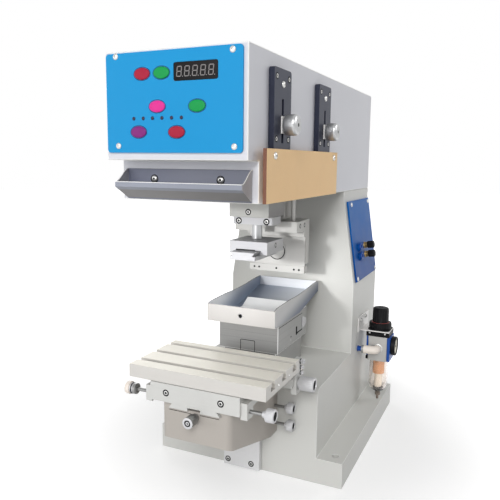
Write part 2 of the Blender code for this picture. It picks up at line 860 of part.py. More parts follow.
def build_guides():
    front = head_lower_front + head_sheet + seat_gap
    rear = base_rear - head_sheet - seat_gap
    build_rod_mount("rod_mount_front", front, front + rod_mount_thickness)
    rear_face = rear - rod_mount_thickness
    mount = build_rod_mount("shuttle_cylinder", rear_face, rear)
    tube_end = carriage_rear + shuttle_tube_gap
    bore = [(rear_face + cut_over, shuttle_tube_radius), (rear_face + cut_over, shuttle_bore_radius),
            (tube_end + shuttle_tube_wall, shuttle_bore_radius),
            (tube_end + shuttle_tube_wall, shuttle_rod_radius + running_gap),
            (tube_end, shuttle_rod_radius + running_gap), (tube_end, shuttle_tube_radius)]
    join(mount, turned(bore, 'Y', (0, rod_height), hollow=True))
    for side, name in ((-1, "guide_rod_left"), (1, "guide_rod_right")):
        add_object(name, rod('Y', (side * rod_x, rod_height), rod_radius,
                             front + rod_mount_thickness + seat_gap, rear_face - seat_gap), "bright steel")
    piston_rear = rear_face - shuttle_tube_wall
    piston_front = piston_rear - piston_length
    radius = shuttle_bore_radius - running_gap
    profile = [(carriage_rear + seat_gap, 0), (carriage_rear + seat_gap, shuttle_rod_radius),
               (piston_front, shuttle_rod_radius), (piston_front, radius), (piston_rear, radius),
               (piston_rear, 0)]
    shaft = add_object("shuttle_piston_rod", turned(profile, 'Y', (0, rod_height)), "bright steel")
    set_origin(shaft, (0, carriage_rear, rod_height))


def build_carriage():
    plate_top = carriage_bottom + carriage_plate
    carriage = add_object("carriage", box((-carriage_half, carriage_half), (carriage_front, carriage_rear),
                                          (carriage_bottom, plate_top)), "bare aluminium")
    set_origin(carriage, (0, pad_axis_y, rod_height))
    for side in (-1, 1):
        join(carriage, box(sorted((side * bearing_inner, side * (carriage_half - seat_gap))),
                           (carriage_front + seat_gap, carriage_rear - seat_gap),
                           (plate_top - carriage_plate / 2, carriage_bottom + bearing_height)))
    join(carriage, box(span(0, tab_width), (carriage_rear - tab_thickness, carriage_rear - seat_gap),
                       (plate_top - carriage_plate / 2, carriage_bottom + bearing_height)))
    join(carriage, box(span(0, blade_block_width), span(guide_pin_y, blade_block_depth),
                       (block_bottom, blade_rod_top + running_gap + blade_block_cap)))
    for side in (-1, 1):
        cut(carriage, rod('Y', (side * rod_x, rod_height), rod_radius + running_gap,
                          carriage_front - cut_over, carriage_rear + cut_over))
        cut(carriage, rod('Z', (side * guide_pin_spacing / 2, guide_pin_y), guide_pin_radius + running_gap,
                          carriage_bottom - cut_over, plate_top + cut_over))
    cut(carriage, box(span(0, pad_cylinder_width + 2 * seat_gap),
                      span(pad_axis_y, pad_cylinder_depth + 2 * seat_gap),
                      (carriage_bottom - cut_over, plate_top + cut_over)))
    cut(carriage, rod('Z', (0, guide_pin_y), blade_rod_radius + running_gap, block_bottom - cut_over,
                      blade_rod_top + running_gap))
    return carriage


# Print head

def build_pad_cylinder():
    top = pad_bore_top + pad_cylinder_cap
    cylinder = add_object("pad_cylinder", box(span(0, pad_cylinder_width), span(pad_axis_y, pad_cylinder_depth),
                                              (pad_cylinder_bottom, top)), "satin plate")
    set_origin(cylinder, (0, pad_axis_y, pad_cylinder_bottom))
    cut(cylinder, rod('Z', (0, pad_axis_y), pad_bore_radius, pad_cylinder_bottom - cut_over,
                      pad_bore_top, round_sides))
    plate = add_object("pad_cylinder_end_plate", box(span(0, pad_cylinder_width), span(pad_axis_y, end_plate_depth),
                                                     (end_plate_bottom, end_plate_top)), "satin plate")
    set_origin(plate, (0, pad_axis_y, end_plate_bottom))
    cut(plate, rod('Z', (0, pad_axis_y), pad_rod_radius + running_gap, end_plate_bottom - cut_over,
                   end_plate_top + cut_over))


def build_pad_piston_rod():
    low = holder_top + seat_gap
    radius = pad_bore_radius - running_gap
    profile = [(low, 0), (low, pad_rod_radius), (pad_piston_low, pad_rod_radius), (pad_piston_low, radius),
               (pad_piston_low + piston_length, radius), (pad_piston_low + piston_length, 0)]
    shaft = add_object("pad_piston_rod", turned(profile, 'Z', (0, pad_axis_y)), "bright steel")
    return set_origin(shaft, (0, pad_axis_y, low))


def dovetail(neck, wide, low, high):
    return [(-neck / 2, low), (neck / 2, low), (wide / 2, high), (-wide / 2, high)]


def build_pad_holder():
    block = add_object("pad_holder_block", box(span(0, holder_width), span(pad_axis_y, holder_depth),
                                               (holder_bottom, holder_top)), "satin plate")
    set_origin(block, (0, pad_axis_y, holder_bottom))
    flare = (dovetail_top_width - dovetail_neck_width) / dovetail_depth
    groove = dovetail(dovetail_neck_width - flare * cut_over, dovetail_top_width,
                      holder_bottom - cut_over, holder_bottom + dovetail_depth)
    cut(block, prism(groove, 'Y', pad_axis_y - holder_depth / 2 - cut_over,
                     pad_axis_y + holder_depth / 2 + cut_over))

    low = holder_bottom - seat_gap - pad_plate_thickness
    shoulder = holder_bottom - seat_gap
    neck = dovetail_neck_width / 2 - 2 * seat_gap
    wide = dovetail_top_width / 2 - 2 * seat_gap
    half = pad_plate_width / 2
    crest = holder_bottom + dovetail_depth - seat_gap
    outline = [(-half, low), (half, low), (half, shoulder), (neck, shoulder), (wide, crest),
               (-wide, crest), (-neck, shoulder), (-half, shoulder)]
    front = pad_axis_y - holder_depth / 2 - pad_plate_overhang
    rear = pad_axis_y + holder_depth / 2 - seat_gap
    plate = add_object("pad_plate", prism(outline, 'Y', front, rear), "satin plate")
    set_origin(plate, (0, pad_axis_y, low))


# Blade head

def build_blade_lift_bar():
    bar_bottom = blade_bar_top - blade_bar_height
    bar = add_object("blade_lift_bar", box(span(0, blade_bar_width), (blade_bar_front, blade_bar_rear),
                                           (bar_bottom, blade_bar_top)), "bare aluminium")
    set_origin(bar, (0, guide_pin_y, blade_bar_top))
    inside = blade_bar_rear - blade_strip_depth
    arm_low = bar_bottom + seat_gap
    arm_high = blade_bar_top - seat_gap
    strip_low = bar_bottom - blade_strip_height
    leg = [(inside, arm_low), (inside, arm_high), (blade_back_rear, arm_high),
           (blade_back_rear, blade_back_bottom), (blade_back_front, blade_back_bottom),
           (blade_back_front, strip_low), (blade_bar_rear, strip_low), (blade_bar_rear, arm_low)]
    join(bar, prism(leg, 'X', *span(0, blade_back_width)))
    for side in (-1, 1):
        join(bar, rod('Z', (side * guide_pin_spacing / 2, guide_pin_y), guide_pin_radius,
                      blade_bar_top - blade_bar_height / 2, guide_pin_top))
    join(bar, rod('Z', (0, guide_pin_y), blade_rod_radius, blade_bar_top - blade_bar_height / 2,
                  blade_rod_top))
    return bar


def build_blade_holder():
    back = blade_back_front - seat_gap
    front = back - blade_plate_thickness
    top = blade_bar_top - blade_plate_drop
    low = top - blade_plate_height
    flange_front = front - blade_flange_proud
    flange_rear = flange_front + blade_flange_depth
    flange_low = low - blade_flange_height
    outline = [(front, low), (front, top), (back, top), (back, low), (flange_rear, low),
               (flange_rear, flange_low), (flange_front, flange_low), (flange_front, low)]
    holder = add_object("blade_holder", prism(outline, 'X', *span(0, blade_plate_width)), "bare aluminium")
    set_origin(holder, (0, guide_pin_y, top))
    join(holder, rod('Y', (0, blend(low, top, pivot_share)), pivot_radius, front - pivot_proud,
                     back - blade_plate_thickness / 4))
    middle = (low + flange_low) / 2
    for share in blade_hole_shares:
        cut(holder, rod('Y', (share * blade_plate_width / 2, middle), blade_hole_radius,
                        flange_front - cut_over, flange_rear + cut_over))
    blade_front = flange_rear + seat_gap
    blade_low = flange_low - blade_proud
    blade = add_object("doctor_blade", box(span(0, blade_width), (blade_front, blade_front + blade_thickness),
                                           (blade_low, blade_low + blade_height)), "bright steel")
    set_origin(blade, (0, guide_pin_y, blade_low))


# Ink side

def tray_point(shares):
    front_top = tray_bottom + tray_front_height
    return (blend(tray_front, tray_rear, shares[0]),
            blend(front_top, tray_bottom + tray_height, shares[1]))


def build_ink_tray():
    tail = tray_bottom + tray_tail_rise
    rim = [tray_point(shares) for shares in reversed(tray_side_shares)]
    outline = [(tray_front, tray_bottom), (tray_flat_end, tray_bottom), (tray_rear, tail)] + rim
    tray = add_object("ink_tray", prism(outline, 'X', *span(0, tray_width)), "tray steel")
    front = tray_front + tray_sheet
    rear = tray_rear - tray_sheet
    floor = tray_bottom + tray_sheet
    above = tray_bottom + tray_height + cut_over
    room = [(front, floor), (tray_flat_end, floor), (rear, tail + tray_sheet), (rear, above), (front, above)]
    cut(tray, prism(room, 'X', *span(0, tray_width - 2 * tray_sheet)))
    cut(tray, rod('Y', (0, tray_bottom + tray_front_height / 2), tray_hole_radius, tray_front - cut_over,
                  front + cut_over))
    return tray


def build_cliche_bed():
    front = tray_front + tray_sheet + bed_front_gap
    rear = tray_flat_end - bed_rear_gap
    low = tray_bottom + tray_sheet + seat_gap
    outline = [(front, low), (rear, low), (rear, low + bed_ramp_height),
               (rear - bed_ramp_length, low + bed_height), (front, low + bed_height)]
    return add_object("cliche_bed", prism(outline, 'X', *span(0, bed_width)), "satin plate")


def build_pedestal():
    rear = pedestal_front + pedestal_length
    foot_top = pedestal_bottom + pedestal_foot_height
    pedestal = add_object("tray_pedestal", box(span(0, pedestal_width), (pedestal_front, rear),
                                               (foot_top, pedestal_top)), "brushed steel")
    join(pedestal, box(span(0, pedestal_width - 2 * pedestal_foot_inset),
                       (pedestal_front + pedestal_foot_inset, rear - pedestal_foot_inset),
                       (pedestal_bottom, foot_top + cut_over)))
    return pedestal


# Work side

def slot_places():
    middle = (table_front + table_rear) / 2 + slot_row_offset
    return [middle + (index - (slot_count - 1) / 2) * slot_pitch for index in range(slot_count)]


def build_work_table():
    table = add_object("work_table", box(span(0, table_width), (table_front, table_rear),
                                         (table_bottom, table_top)), "table white")
    set_origin(table, (0, x_screw_y, x_screw_height))
    room_top = table_top - slot_neck_depth
    for place in slot_places():
        neck_low, neck_high = span(place, slot_neck_width)
        room_low, room_high = span(place, slot_room_width)
        outline = [(neck_low, table_top + cut_over), (neck_low, room_top), (room_low, room_top),
                   (room_low, room_top - slot_room_height), (room_high, room_top - slot_room_height),
                   (room_high, room_top), (neck_high, room_top), (neck_high, table_top + cut_over)]
        cut(table, prism(outline, 'X', *span(0, table_width + 2 * cut_over)))
    return table


def build_saddle():
    half = saddle_width / 2
    saddle = add_object("saddle", box((-half, half), (saddle_front, table_rear), (saddle_bottom, saddle_top)),
                        "satin plate")
    set_origin(saddle, (0, saddle_front, y_screw_height))
    lug_low = saddle_bottom - saddle_lug_drop
    lug_front = saddle_front + saddle_lug_setback
    for side in (-1, 1):
        lug = sorted((side * (half - seat_gap), side * (half + saddle_lug_length)))
        join(saddle, box(lug, (lug_front, lug_front + saddle_lug_depth), (lug_low, lug_low + saddle_lug_height)))
    drop = saddle_bottom - saddle_dovetail_height
    slide = dovetail(saddle_dovetail_width, saddle_dovetail_neck, drop, saddle_bottom)
    neck = saddle_dovetail_neck / 2
    slide[3:3] = [(neck, saddle_bottom + cut_over), (-neck, saddle_bottom + cut_over)]
    join(saddle, prism(slide, 'Y', saddle_front + seat_gap, table_rear - seat_gap))
    cut(saddle, box(span(0, saddle_notch_width), (saddle_front - cut_over, table_rear + cut_over),
                    (drop - cut_over, drop + saddle_notch_height)))
    arm = (half - seat_gap, ear_outer - ear_thickness / 2)
    join(saddle, box(arm, (table_rear - ear_gap, ear_front + ear_depth / 2),
                     (saddle_bottom + seat_gap, saddle_bottom + ear_arm_height)))
    join(saddle, box((ear_outer - ear_thickness, ear_outer), (ear_front, ear_front + ear_depth),
                     (ear_bottom, ear_bottom + ear_height)))
    reach = half + saddle_lug_length + cut_over
    cut(saddle, rod('X', (x_screw_y, x_screw_height), x_screw_radius + running_gap, -reach, reach))
    cut(saddle, rod('X', (rear_screw_y, rear_screw_height), rear_screw_radius + running_gap,
                    ear_outer - rear_screw_length - running_gap, ear_outer + cut_over))
    return saddle


def knob_profile(start, end, radius):
    # from one flat end to the other, with a small chamfer at each
    step = radius / 8 if end > start else -radius / 8
    inner = radius - abs(step)
    return [(start, inner), (start + step, radius), (end - step, radius), (end, inner)]


def build_x_feed_screw():
    left = -x_left_reach
    right = x_right_reach
    profile = [(left, 0)] + knob_profile(left, left + x_knob_length, x_knob_radius)
    profile += [(left + x_knob_length, x_screw_radius), (right - x_knob_length, x_screw_radius)]
    profile += knob_profile(right - x_knob_length, right, x_knob_radius) + [(right, 0)]
    screw = add_object("x_feed_screw", turned(profile, 'X', (x_screw_y, x_screw_height)), "nickel")
    return set_origin(screw, (0, x_screw_y, x_screw_height))


def build_y_feed_screw():
    collar_front = knee_front - seat_gap - y_collar_length
    front = collar_front - y_knob_length
    profile = [(front + socket_depth, 0), (front + socket_depth, socket_radius), (front, socket_radius)]
    profile += knob_profile(front, collar_front, y_knob_radius)
    profile += [(collar_front, y_collar_radius), (knee_front - seat_gap, y_collar_radius),
                (knee_front - seat_gap, y_screw_radius), (y_screw_end, y_screw_radius), (y_screw_end, 0)]
    screw = add_object("y_feed_screw", turned(profile, 'Y', (0, y_screw_height)), "nickel")
    return set_origin(screw, (0, knee_front, y_screw_height))


def build_rear_thumb_screw():
    tip = ear_outer - rear_screw_length
    start = ear_outer + seat_gap
    profile = [(tip, 0), (tip, rear_screw_radius), (start, rear_screw_radius)]
    profile += knob_profile(start, start + rear_knob_length, rear_knob_radius)
    profile += [(start + rear_knob_length, 0)]
    screw = add_object("rear_thumb_screw", turned(profile, 'X', (rear_screw_y, rear_screw_height)), "nickel")
    return set_origin(screw, (tip, rear_screw_y, rear_screw_height))


def build_knee():
    half = knee_width / 2
    low_y, high_y = knee_front + knee_corner_radius, knee_rear
    outline = [(half, high_y), (-half, high_y)]
    outline += arc((-half + knee_corner_radius, low_y), knee_corner_radius, 180, 270)
    outline += arc((half - knee_corner_radius, low_y), knee_corner_radius, 270, 360)
    knee = add_object("knee", prism(outline, 'Z', knee_bottom, knee_top), "knee grey")
    set_origin(knee, (0, knee_rear, knee_top))
    flat_front = knee_rear - knee_flat_length
    slope = knee_front_rise / (flat_front - knee_front)
    under = [(flat_front, knee_bottom), (knee_front - cut_over, knee_bottom + knee_front_rise + slope * cut_over),
             (knee_front - cut_over, knee_bottom - cut_over), (flat_front, knee_bottom - cut_over)]
    cut(knee, prism(under, 'X', -half - cut_over, half + cut_over))
    groove_low = knee_top - saddle_dovetail_height + running_gap - 2 * seat_gap
    flare = (saddle_dovetail_width - saddle_dovetail_neck) / saddle_dovetail_height
    room = 2 * running_gap
    groove = dovetail(saddle_dovetail_width + 2 * room, saddle_dovetail_neck + 2 * room - flare * cut_over,
                      groove_low, knee_top + cut_over)
    through = (knee_front - cut_over, knee_rear + cut_over)
    cut(knee, prism(groove, 'Y', *through))
    rail_room = (-rail_left - running_gap, rail_right + running_gap)
    cut(knee, box(rail_room, (base_front - rail_thickness - 2 * running_gap, knee_rear + cut_over),
                  (knee_bottom - cut_over, knee_top + cut_over)))
    cut(knee, box(span(0, knee_pocket_width), (knee_front + knee_pocket_wall, knee_rear - knee_pocket_rear_wall),
                  (knee_bottom - cut_over, knee_top - knee_pocket_roof)))
    cut(knee, rod('Y', (0, y_screw_height), y_screw_radius + running_gap, knee_front - cut_over,
                  y_screw_end + running_gap))
    for rise in clamp_heights.values():
        cut(knee, rod('X', (clamp_y, knee_bottom + rise), clamp_shaft_radius + running_gap,
                      clamp_tip - running_gap, half + cut_over))
    return knee


def build_knee_rail():
    return add_object("knee_rail", box((-rail_left, rail_right), (base_front - seat_gap - rail_thickness,
                                                                  base_front - seat_gap),
                                       (rail_bottom, rail_bottom + rail_height)), "satin plate")


def build_knee_clamps():
    for name, rise in clamp_heights.items():
        neck_end = knee_width / 2 + clamp_neck_length
        start = neck_end + clamp_collar_length
        profile = [(clamp_tip, 0), (clamp_tip, clamp_shaft_radius), (neck_end, clamp_shaft_radius),
                   (neck_end, clamp_collar_radius), (start, clamp_collar_radius)]
        profile += knob_profile(start, start + clamp_knob_length, clamp_knob_radius)
        profile += [(start + clamp_knob_length, 0)]
        centre = (clamp_y, knee_bottom + rise)
        clamp = add_object(name, turned(profile, 'X', centre), "nickel")
        set_origin(clamp, (clamp_tip, *centre))


# Air side

def on_slant(share, proud):
    # a point on the column's slanted right side, a share of the way up, standing proud of it
    return (blend(base_half, head_half, share) + proud * cos(slant_angle),
            blend(bend_height, slant_top, share) + proud * sin(slant_angle))


def build_service_panel():
    front = column_front + service_front_inset
    rear = base_rear - service_rear_inset
    outline = [on_slant(service_bottom_share, seat_gap), on_slant(service_top_share, seat_gap),
               on_slant(service_top_share, seat_gap + service_thickness),
               on_slant(service_bottom_share, seat_gap + service_thickness)]
    panel = add_object("service_panel", prism(outline, 'Y', front, rear), "service blue")
    for share in service_row_shares:
        boss = slanted_rod(share, blend(front, rear, socket_boss_share), socket_boss_radius,
                           service_thickness / 2, service_thickness + socket_boss_length)
        join(panel, boss)
    return panel


def slanted_rod(share, place_y, radius, low, high, profile=None):
    # a round piece square to the slanted side; low and high are measured from the side's face
    if profile is None:
        profile = [(low, radius), (high, radius)]
    shape = turned(profile, 'X', (0, 0), small_sides)
    x, z = on_slant(share, 0)
    for corner in shape.verts:
        along, aside, up = corner.co
        corner.co = (x + along * cos(slant_angle) - up * sin(slant_angle), place_y + aside,
                     z + along * sin(slant_angle) + up * cos(slant_angle))
    return shape


def build_flow_valves():
    front = column_front + service_front_inset
    rear = base_rear - service_rear_inset
    place_y = blend(front, rear, valve_share)
    start = service_thickness + 2 * seat_gap
    stem_end = start + valve_stem_length
    knob_end = stem_end + valve_knob_length
    for share, name in zip(service_row_shares, ("flow_valve_upper", "flow_valve_lower")):
        profile = [(start, 0), (start, valve_stem_radius), (stem_end, valve_stem_radius)]
        profile += knob_profile(stem_end, knob_end, valve_knob_radius) + [(knob_end, 0)]
        valve = add_object(name, slanted_rod(share, place_y, 0, 0, 0, profile), "black plastic")
        x, z = on_slant(share, start)
        set_origin(valve, (x, place_y, z))


def build_regulator():
    body = add_object("regulator_body", box(span(regulator_x, regulator_body_width),
                                            span(regulator_y, regulator_body_depth),
                                            (regulator_bottom, regulator_top)), "bare aluminium")
    centre = (regulator_x, regulator_y)
    bonnet = add_object("regulator_bonnet", box(span(regulator_x, bonnet_width), span(regulator_y, bonnet_width),
                                                (bonnet_bottom, bonnet_plate_top)), "black plastic")
    join(bonnet, turned([(bonnet_plate_top - bonnet_height / 2, bonnet_neck_radius),
                         (skirt_bottom, bonnet_neck_radius), (skirt_bottom, bonnet_skirt_radius),
                         (skirt_top, bonnet_skirt_radius)], 'Z', centre))
    knob_low = skirt_top + seat_gap
    knob_top = knob_low + regulator_knob_height
    profile = [(knob_low, 0)] + knob_profile(knob_low, knob_top, regulator_knob_radius) + [(knob_top, 0)]
    knob = add_object("regulator_knob", turned(profile, 'Z', centre), "black plastic")
    set_origin(knob, (*centre, knob_low))
    return body


def build_wall_bracket():
    wall = base_half + seat_gap
    arm_top = bracket_arm_bottom + bracket_sheet
    bracket = add_object("wall_bracket", box((wall, wall + bracket_sheet), span(regulator_y, bracket_width),
                                             (arm_top - bracket_sheet, arm_top + bracket_height)), "nickel")
    join(bracket, box((wall + bracket_sheet / 2, wall + bracket_arm_reach), span(regulator_y, bracket_arm_width),
                      (bracket_arm_bottom, arm_top)))
    cut(bracket, rod('Z', (regulator_x, regulator_y), bonnet_neck_radius + seat_gap,
                     bracket_arm_bottom - cut_over, arm_top + cut_over, round_sides))
    return bracket


def build_cover_and_gauge():
    face = regulator_x + regulator_body_width / 2 + seat_gap
    add_object("regulator_cover", box((face, face + cover_thickness), span(regulator_y, regulator_body_depth),
                                      (regulator_bottom + cover_inset, regulator_top)), "cover blue")
    start = face + cover_thickness + seat_gap
    height = regulator_bottom + gauge_rise
    profile = [(start, 0)] + knob_profile(start, start + gauge_length, gauge_radius)
    profile += [(start + gauge_length, 0)]
    add_object("pressure_gauge", turned(profile, 'X', (regulator_y, height)), "black plastic")


def build_bowl_and_filter():
    centre = (regulator_x, regulator_y)
    inner = bowl_radius - bowl_wall
    neck = bowl_neck_radius - bowl_wall
    profile = [(bowl_top, bowl_radius), (bowl_shoulder, bowl_radius), (bowl_low, bowl_neck_radius),
               (bowl_low, neck), (bowl_low + bowl_wall, neck), (bowl_shoulder, inner), (bowl_top, inner)]
    add_object("filter_bowl", turned(profile, 'Z', centre, hollow=True), "clear bowl")
    step = bowl_top - element_length
    baffle_low = bowl_shoulder - baffle_reach
    profile = [(bowl_top, 0), (bowl_top, element_radius), (step, element_radius), (step, baffle_radius),
               (baffle_low, baffle_radius), (baffle_low, 0)]
    add_object("filter_element", turned(profile, 'Z', centre), "filter orange")
    profile = [(drain_top, 0), (drain_top, drain_radius), (drain_top - drain_length, drain_radius),
               (drain_top - drain_length, 0)]
    drain = add_object("drain_valve", turned(profile, 'Z', centre, small_sides), "brass")
    set_origin(drain, (*centre, drain_top))


def build_elbow():
    face = regulator_y - regulator_body_depth / 2 - seat_gap
    height = regulator_bottom + elbow_rise
    turn_y = face - elbow_reach
    elbow = add_object("elbow_fitting", rod('Y', (regulator_x, height), elbow_base_radius,
                                            face - elbow_base_length, face, small_sides), "white plastic")
    join(elbow, rod('Y', (regulator_x, height), elbow_radius, turn_y - elbow_radius, face - seat_gap))
    collar_end = base_half + seat_gap + tube_stub_length
    end = collar_end + collar_length
    profile = [(regulator_x, elbow_radius - seat_gap), (end, elbow_radius - seat_gap), (end, collar_radius),
               (collar_end, collar_radius), (collar_end, tube_radius), (base_half + seat_gap, tube_radius)]
    join(elbow, turned(profile, 'X', (turn_y, height), small_sides))
    return elbow


def build_machine():
    clear_scene()
    build_housing()
    build_rear_cover()
    build_valve_block()
    build_head_casing()
    build_control_panel()
    build_display_window()
    build_buttons()
    build_control_board()
    build_parts_bin()
    build_guard_plate()
    for name, place in zip(("front", "rear"), slot_plate_places):
        build_stroke_setting(name, place)
    build_guides()
    build_carriage()
    build_pad_cylinder()
    build_pad_piston_rod()
    build_pad_holder()
    build_blade_lift_bar()
    build_blade_holder()
    build_ink_tray()
    build_cliche_bed()
    build_pedestal()
    build_work_table()
    build_saddle()
    build_x_feed_screw()
    build_y_feed_screw()
    build_rear_thumb_screw()
    build_knee()
    build_knee_rail()
    build_knee_clamps()
    build_service_panel()
    build_flow_valves()
    build_regulator()
    build_wall_bracket()
    build_cover_and_gauge()
    build_bowl_and_filter()
    build_elbow()


build_machine()
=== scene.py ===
import json
import math

import bmesh
import bpy
from mathutils import Matrix, Vector


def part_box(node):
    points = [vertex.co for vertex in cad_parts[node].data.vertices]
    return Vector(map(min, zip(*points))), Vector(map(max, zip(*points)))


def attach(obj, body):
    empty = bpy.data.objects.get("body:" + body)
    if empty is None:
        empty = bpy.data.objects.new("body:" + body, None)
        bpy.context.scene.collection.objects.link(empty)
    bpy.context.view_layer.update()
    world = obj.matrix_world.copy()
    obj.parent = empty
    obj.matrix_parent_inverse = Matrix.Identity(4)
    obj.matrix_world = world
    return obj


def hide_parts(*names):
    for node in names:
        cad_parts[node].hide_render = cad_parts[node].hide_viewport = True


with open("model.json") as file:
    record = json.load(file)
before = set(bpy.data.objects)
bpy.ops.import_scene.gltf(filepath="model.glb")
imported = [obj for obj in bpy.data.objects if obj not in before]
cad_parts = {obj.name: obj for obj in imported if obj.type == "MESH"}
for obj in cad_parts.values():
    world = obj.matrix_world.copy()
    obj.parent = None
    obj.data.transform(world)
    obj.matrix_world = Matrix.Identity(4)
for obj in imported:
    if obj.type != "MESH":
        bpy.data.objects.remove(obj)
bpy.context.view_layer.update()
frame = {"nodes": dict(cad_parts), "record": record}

mm = 0.001
up = Vector((0, 0, 1))
toFront, toRear = Vector((0, -1, 0)), Vector((0, 1, 0))
toRight, toLeft = Vector((1, 0, 0)), Vector((-1, 0, 0))
turnPlaces = {joint["name"]: joint for joint in frame["record"]["behaviour"]["joints"]}


def tone(red, green, blue):
    # screen colour 0-255 to the linear colour that the shader takes
    def linear(value):
        value /= 255
        return value / 12.92 if value <= 0.04045 else ((value + 0.055) / 1.055) ** 2.4

    return (linear(red), linear(green), linear(blue), 1)


# Shader groups, each built once

def startGroup(name, inputs, outputs):
    group = bpy.data.node_groups.new(name, "ShaderNodeTree")
    kinds = {"f": "NodeSocketFloat", "c": "NodeSocketColor", "v": "NodeSocketVector"}
    for label, kind, value in inputs:
        socket = group.interface.new_socket(label, in_out="INPUT", socket_type=kinds[kind])
        if value is not None:
            socket.default_value = value
    for label, kind in outputs:
        group.interface.new_socket(label, in_out="OUTPUT", socket_type=kinds[kind])
    return group, group.nodes.new("NodeGroupInput"), group.nodes.new("NodeGroupOutput")


def mathNode(tree, operation, first, second=None, clamp=False):
    node = tree.nodes.new("ShaderNodeMath")
    node.operation = operation
    node.use_clamp = clamp
    for index, value in enumerate((first, second)):
        if value is None:
            continue
        if isinstance(value, (int, float)):
            node.inputs[index].default_value = value
        else:
            tree.links.new(value, node.inputs[index])
    return node.outputs[0]


def mixTone(tree, share, first, second, mode="MIX"):
    node = tree.nodes.new("ShaderNodeMix")
    node.data_type = "RGBA"
    node.blend_type = mode
    for index, value in ((0, share), (6, first), (7, second)):
        if isinstance(value, (int, float, tuple)):
            node.inputs[index].default_value = value
        else:
            tree.links.new(value, node.inputs[index])
    return node.outputs[2]


def noiseNode(tree, place, scale, detail=2.0, rough=0.5):
    node = tree.nodes.new("ShaderNodeTexNoise")
    node.inputs["Detail"].default_value = detail
    node.inputs["Roughness"].default_value = rough
    tree.links.new(place, node.inputs["Vector"])
    if isinstance(scale, (int, float)):
        node.inputs["Scale"].default_value = scale
    else:
        tree.links.new(scale, node.inputs["Scale"])
    return node.outputs["Fac"]


def makeToneDrift():
    # slow uneven tint over a surface, with a finer speckle inside it
    group, given, result = startGroup("toneDrift", [
        ("Place", "v", None), ("Colour", "c", (1, 1, 1, 1)), ("Depth", "f", 0.06), ("Scale", "f", 9.0),
        ("Speckle", "f", 0.02)], [("Colour", "c"), ("Mask", "f")])
    broad = noiseNode(group, given.outputs["Place"], given.outputs["Scale"], 3.0, 0.55)
    fine = noiseNode(group, given.outputs["Place"], 640.0, 1.0)
    broadShift = mathNode(group, "MULTIPLY", mathNode(group, "SUBTRACT", broad, 0.5), given.outputs["Depth"])
    fineShift = mathNode(group, "MULTIPLY", mathNode(group, "SUBTRACT", fine, 0.5), given.outputs["Speckle"])
    doubled = mathNode(group, "MULTIPLY", broadShift, 2.0)
    level = mathNode(group, "ADD", mathNode(group, "ADD", doubled, fineShift), 1.0)
    spread = group.nodes.new("ShaderNodeCombineColor")
    for index in range(3):
        group.links.new(level, spread.inputs[index])
    group.links.new(mixTone(group, 1.0, given.outputs["Colour"], spread.outputs[0], "MULTIPLY"),
                    result.inputs["Colour"])
    group.links.new(broad, result.inputs["Mask"])
    return group


def makePaintSkin():
    # orange peel of a sprayed coat
    group, given, result = startGroup("paintSkin", [("Place", "v", None), ("Scale", "f", 420.0)],
                                      [("Height", "f")])
    group.links.new(noiseNode(group, given.outputs["Place"], given.outputs["Scale"], 2.0, 0.4),
                    result.inputs["Height"])
    return group


def makeBrushGrain():
    # fine lines left by brushing or grinding: the place is squeezed along the strokes
    group, given, result = startGroup("brushGrain", [
        ("Place", "v", None), ("Squeeze", "v", (20, 900, 900)), ("Contrast", "f", 1.0)],
        [("Lines", "f"), ("Height", "f")])
    scaled = group.nodes.new("ShaderNodeVectorMath")
    scaled.operation = "MULTIPLY"
    group.links.new(given.outputs["Place"], scaled.inputs[0])
    group.links.new(given.outputs["Squeeze"], scaled.inputs[1])
    lines = noiseNode(group, scaled.outputs[0], 1.0, 4.0, 0.65)
    centred = mathNode(group, "MULTIPLY", mathNode(group, "SUBTRACT", lines, 0.5), given.outputs["Contrast"])
    group.links.new(mathNode(group, "ADD", centred, 0.5, True), result.inputs["Lines"])
    group.links.new(lines, result.inputs["Height"])
    return group


def makeHandMarks():
    # rubbed and fingered patches that change the gloss
    group, given, result = startGroup("handMarks", [
        ("Place", "v", None), ("Base", "f", 0.4), ("Spread", "f", 0.12), ("Scale", "f", 26.0)],
                                      [("Roughness", "f")])
    patches = noiseNode(group, given.outputs["Place"], given.outputs["Scale"], 4.0, 0.62)
    shift = mathNode(group, "MULTIPLY", mathNode(group, "SUBTRACT", patches, 0.5), given.outputs["Spread"])
    level = mathNode(group, "ADD", given.outputs["Base"], mathNode(group, "MULTIPLY", shift, 2.0), True)
    group.links.new(level, result.inputs["Roughness"])
    return group


def makeRiseBlend():
    # goes from 0 to 1 between two places along a direction
    group, given, result = startGroup("riseBlend", [
        ("Place", "v", None), ("Direction", "v", (0, 0, 1)), ("From", "f", 0.0), ("To", "f", 1.0)],
                                      [("Share", "f")])
    along = group.nodes.new("ShaderNodeVectorMath")
    along.operation = "DOT_PRODUCT"
    group.links.new(given.outputs["Place"], along.inputs[0])
    group.links.new(given.outputs["Direction"], along.inputs[1])
    mapped = group.nodes.new("ShaderNodeMapRange")
    mapped.interpolation_type = "SMOOTHSTEP"
    group.links.new(along.outputs["Value"], mapped.inputs["Value"])
    group.links.new(given.outputs["From"], mapped.inputs["From Min"])
    group.links.new(given.outputs["To"], mapped.inputs["From Max"])
    group.links.new(mapped.outputs["Result"], result.inputs["Share"])
    return group


toneDrift, paintSkin, brushGrain, handMarks, riseBlend = (
    makeToneDrift(), makePaintSkin(), makeBrushGrain(), makeHandMarks(), makeRiseBlend())
print("shader groups ready")


def placeGroup(tree, group, place, **values):
    node = tree.nodes.new("ShaderNodeGroup")
    node.node_tree = group
    tree.links.new(place, node.inputs["Place"])
    for label, value in values.items():
        socket = node.inputs[label]
        if isinstance(value, bpy.types.NodeSocket):
            tree.links.new(value, socket)
        else:
            socket.default_value = value
    return node


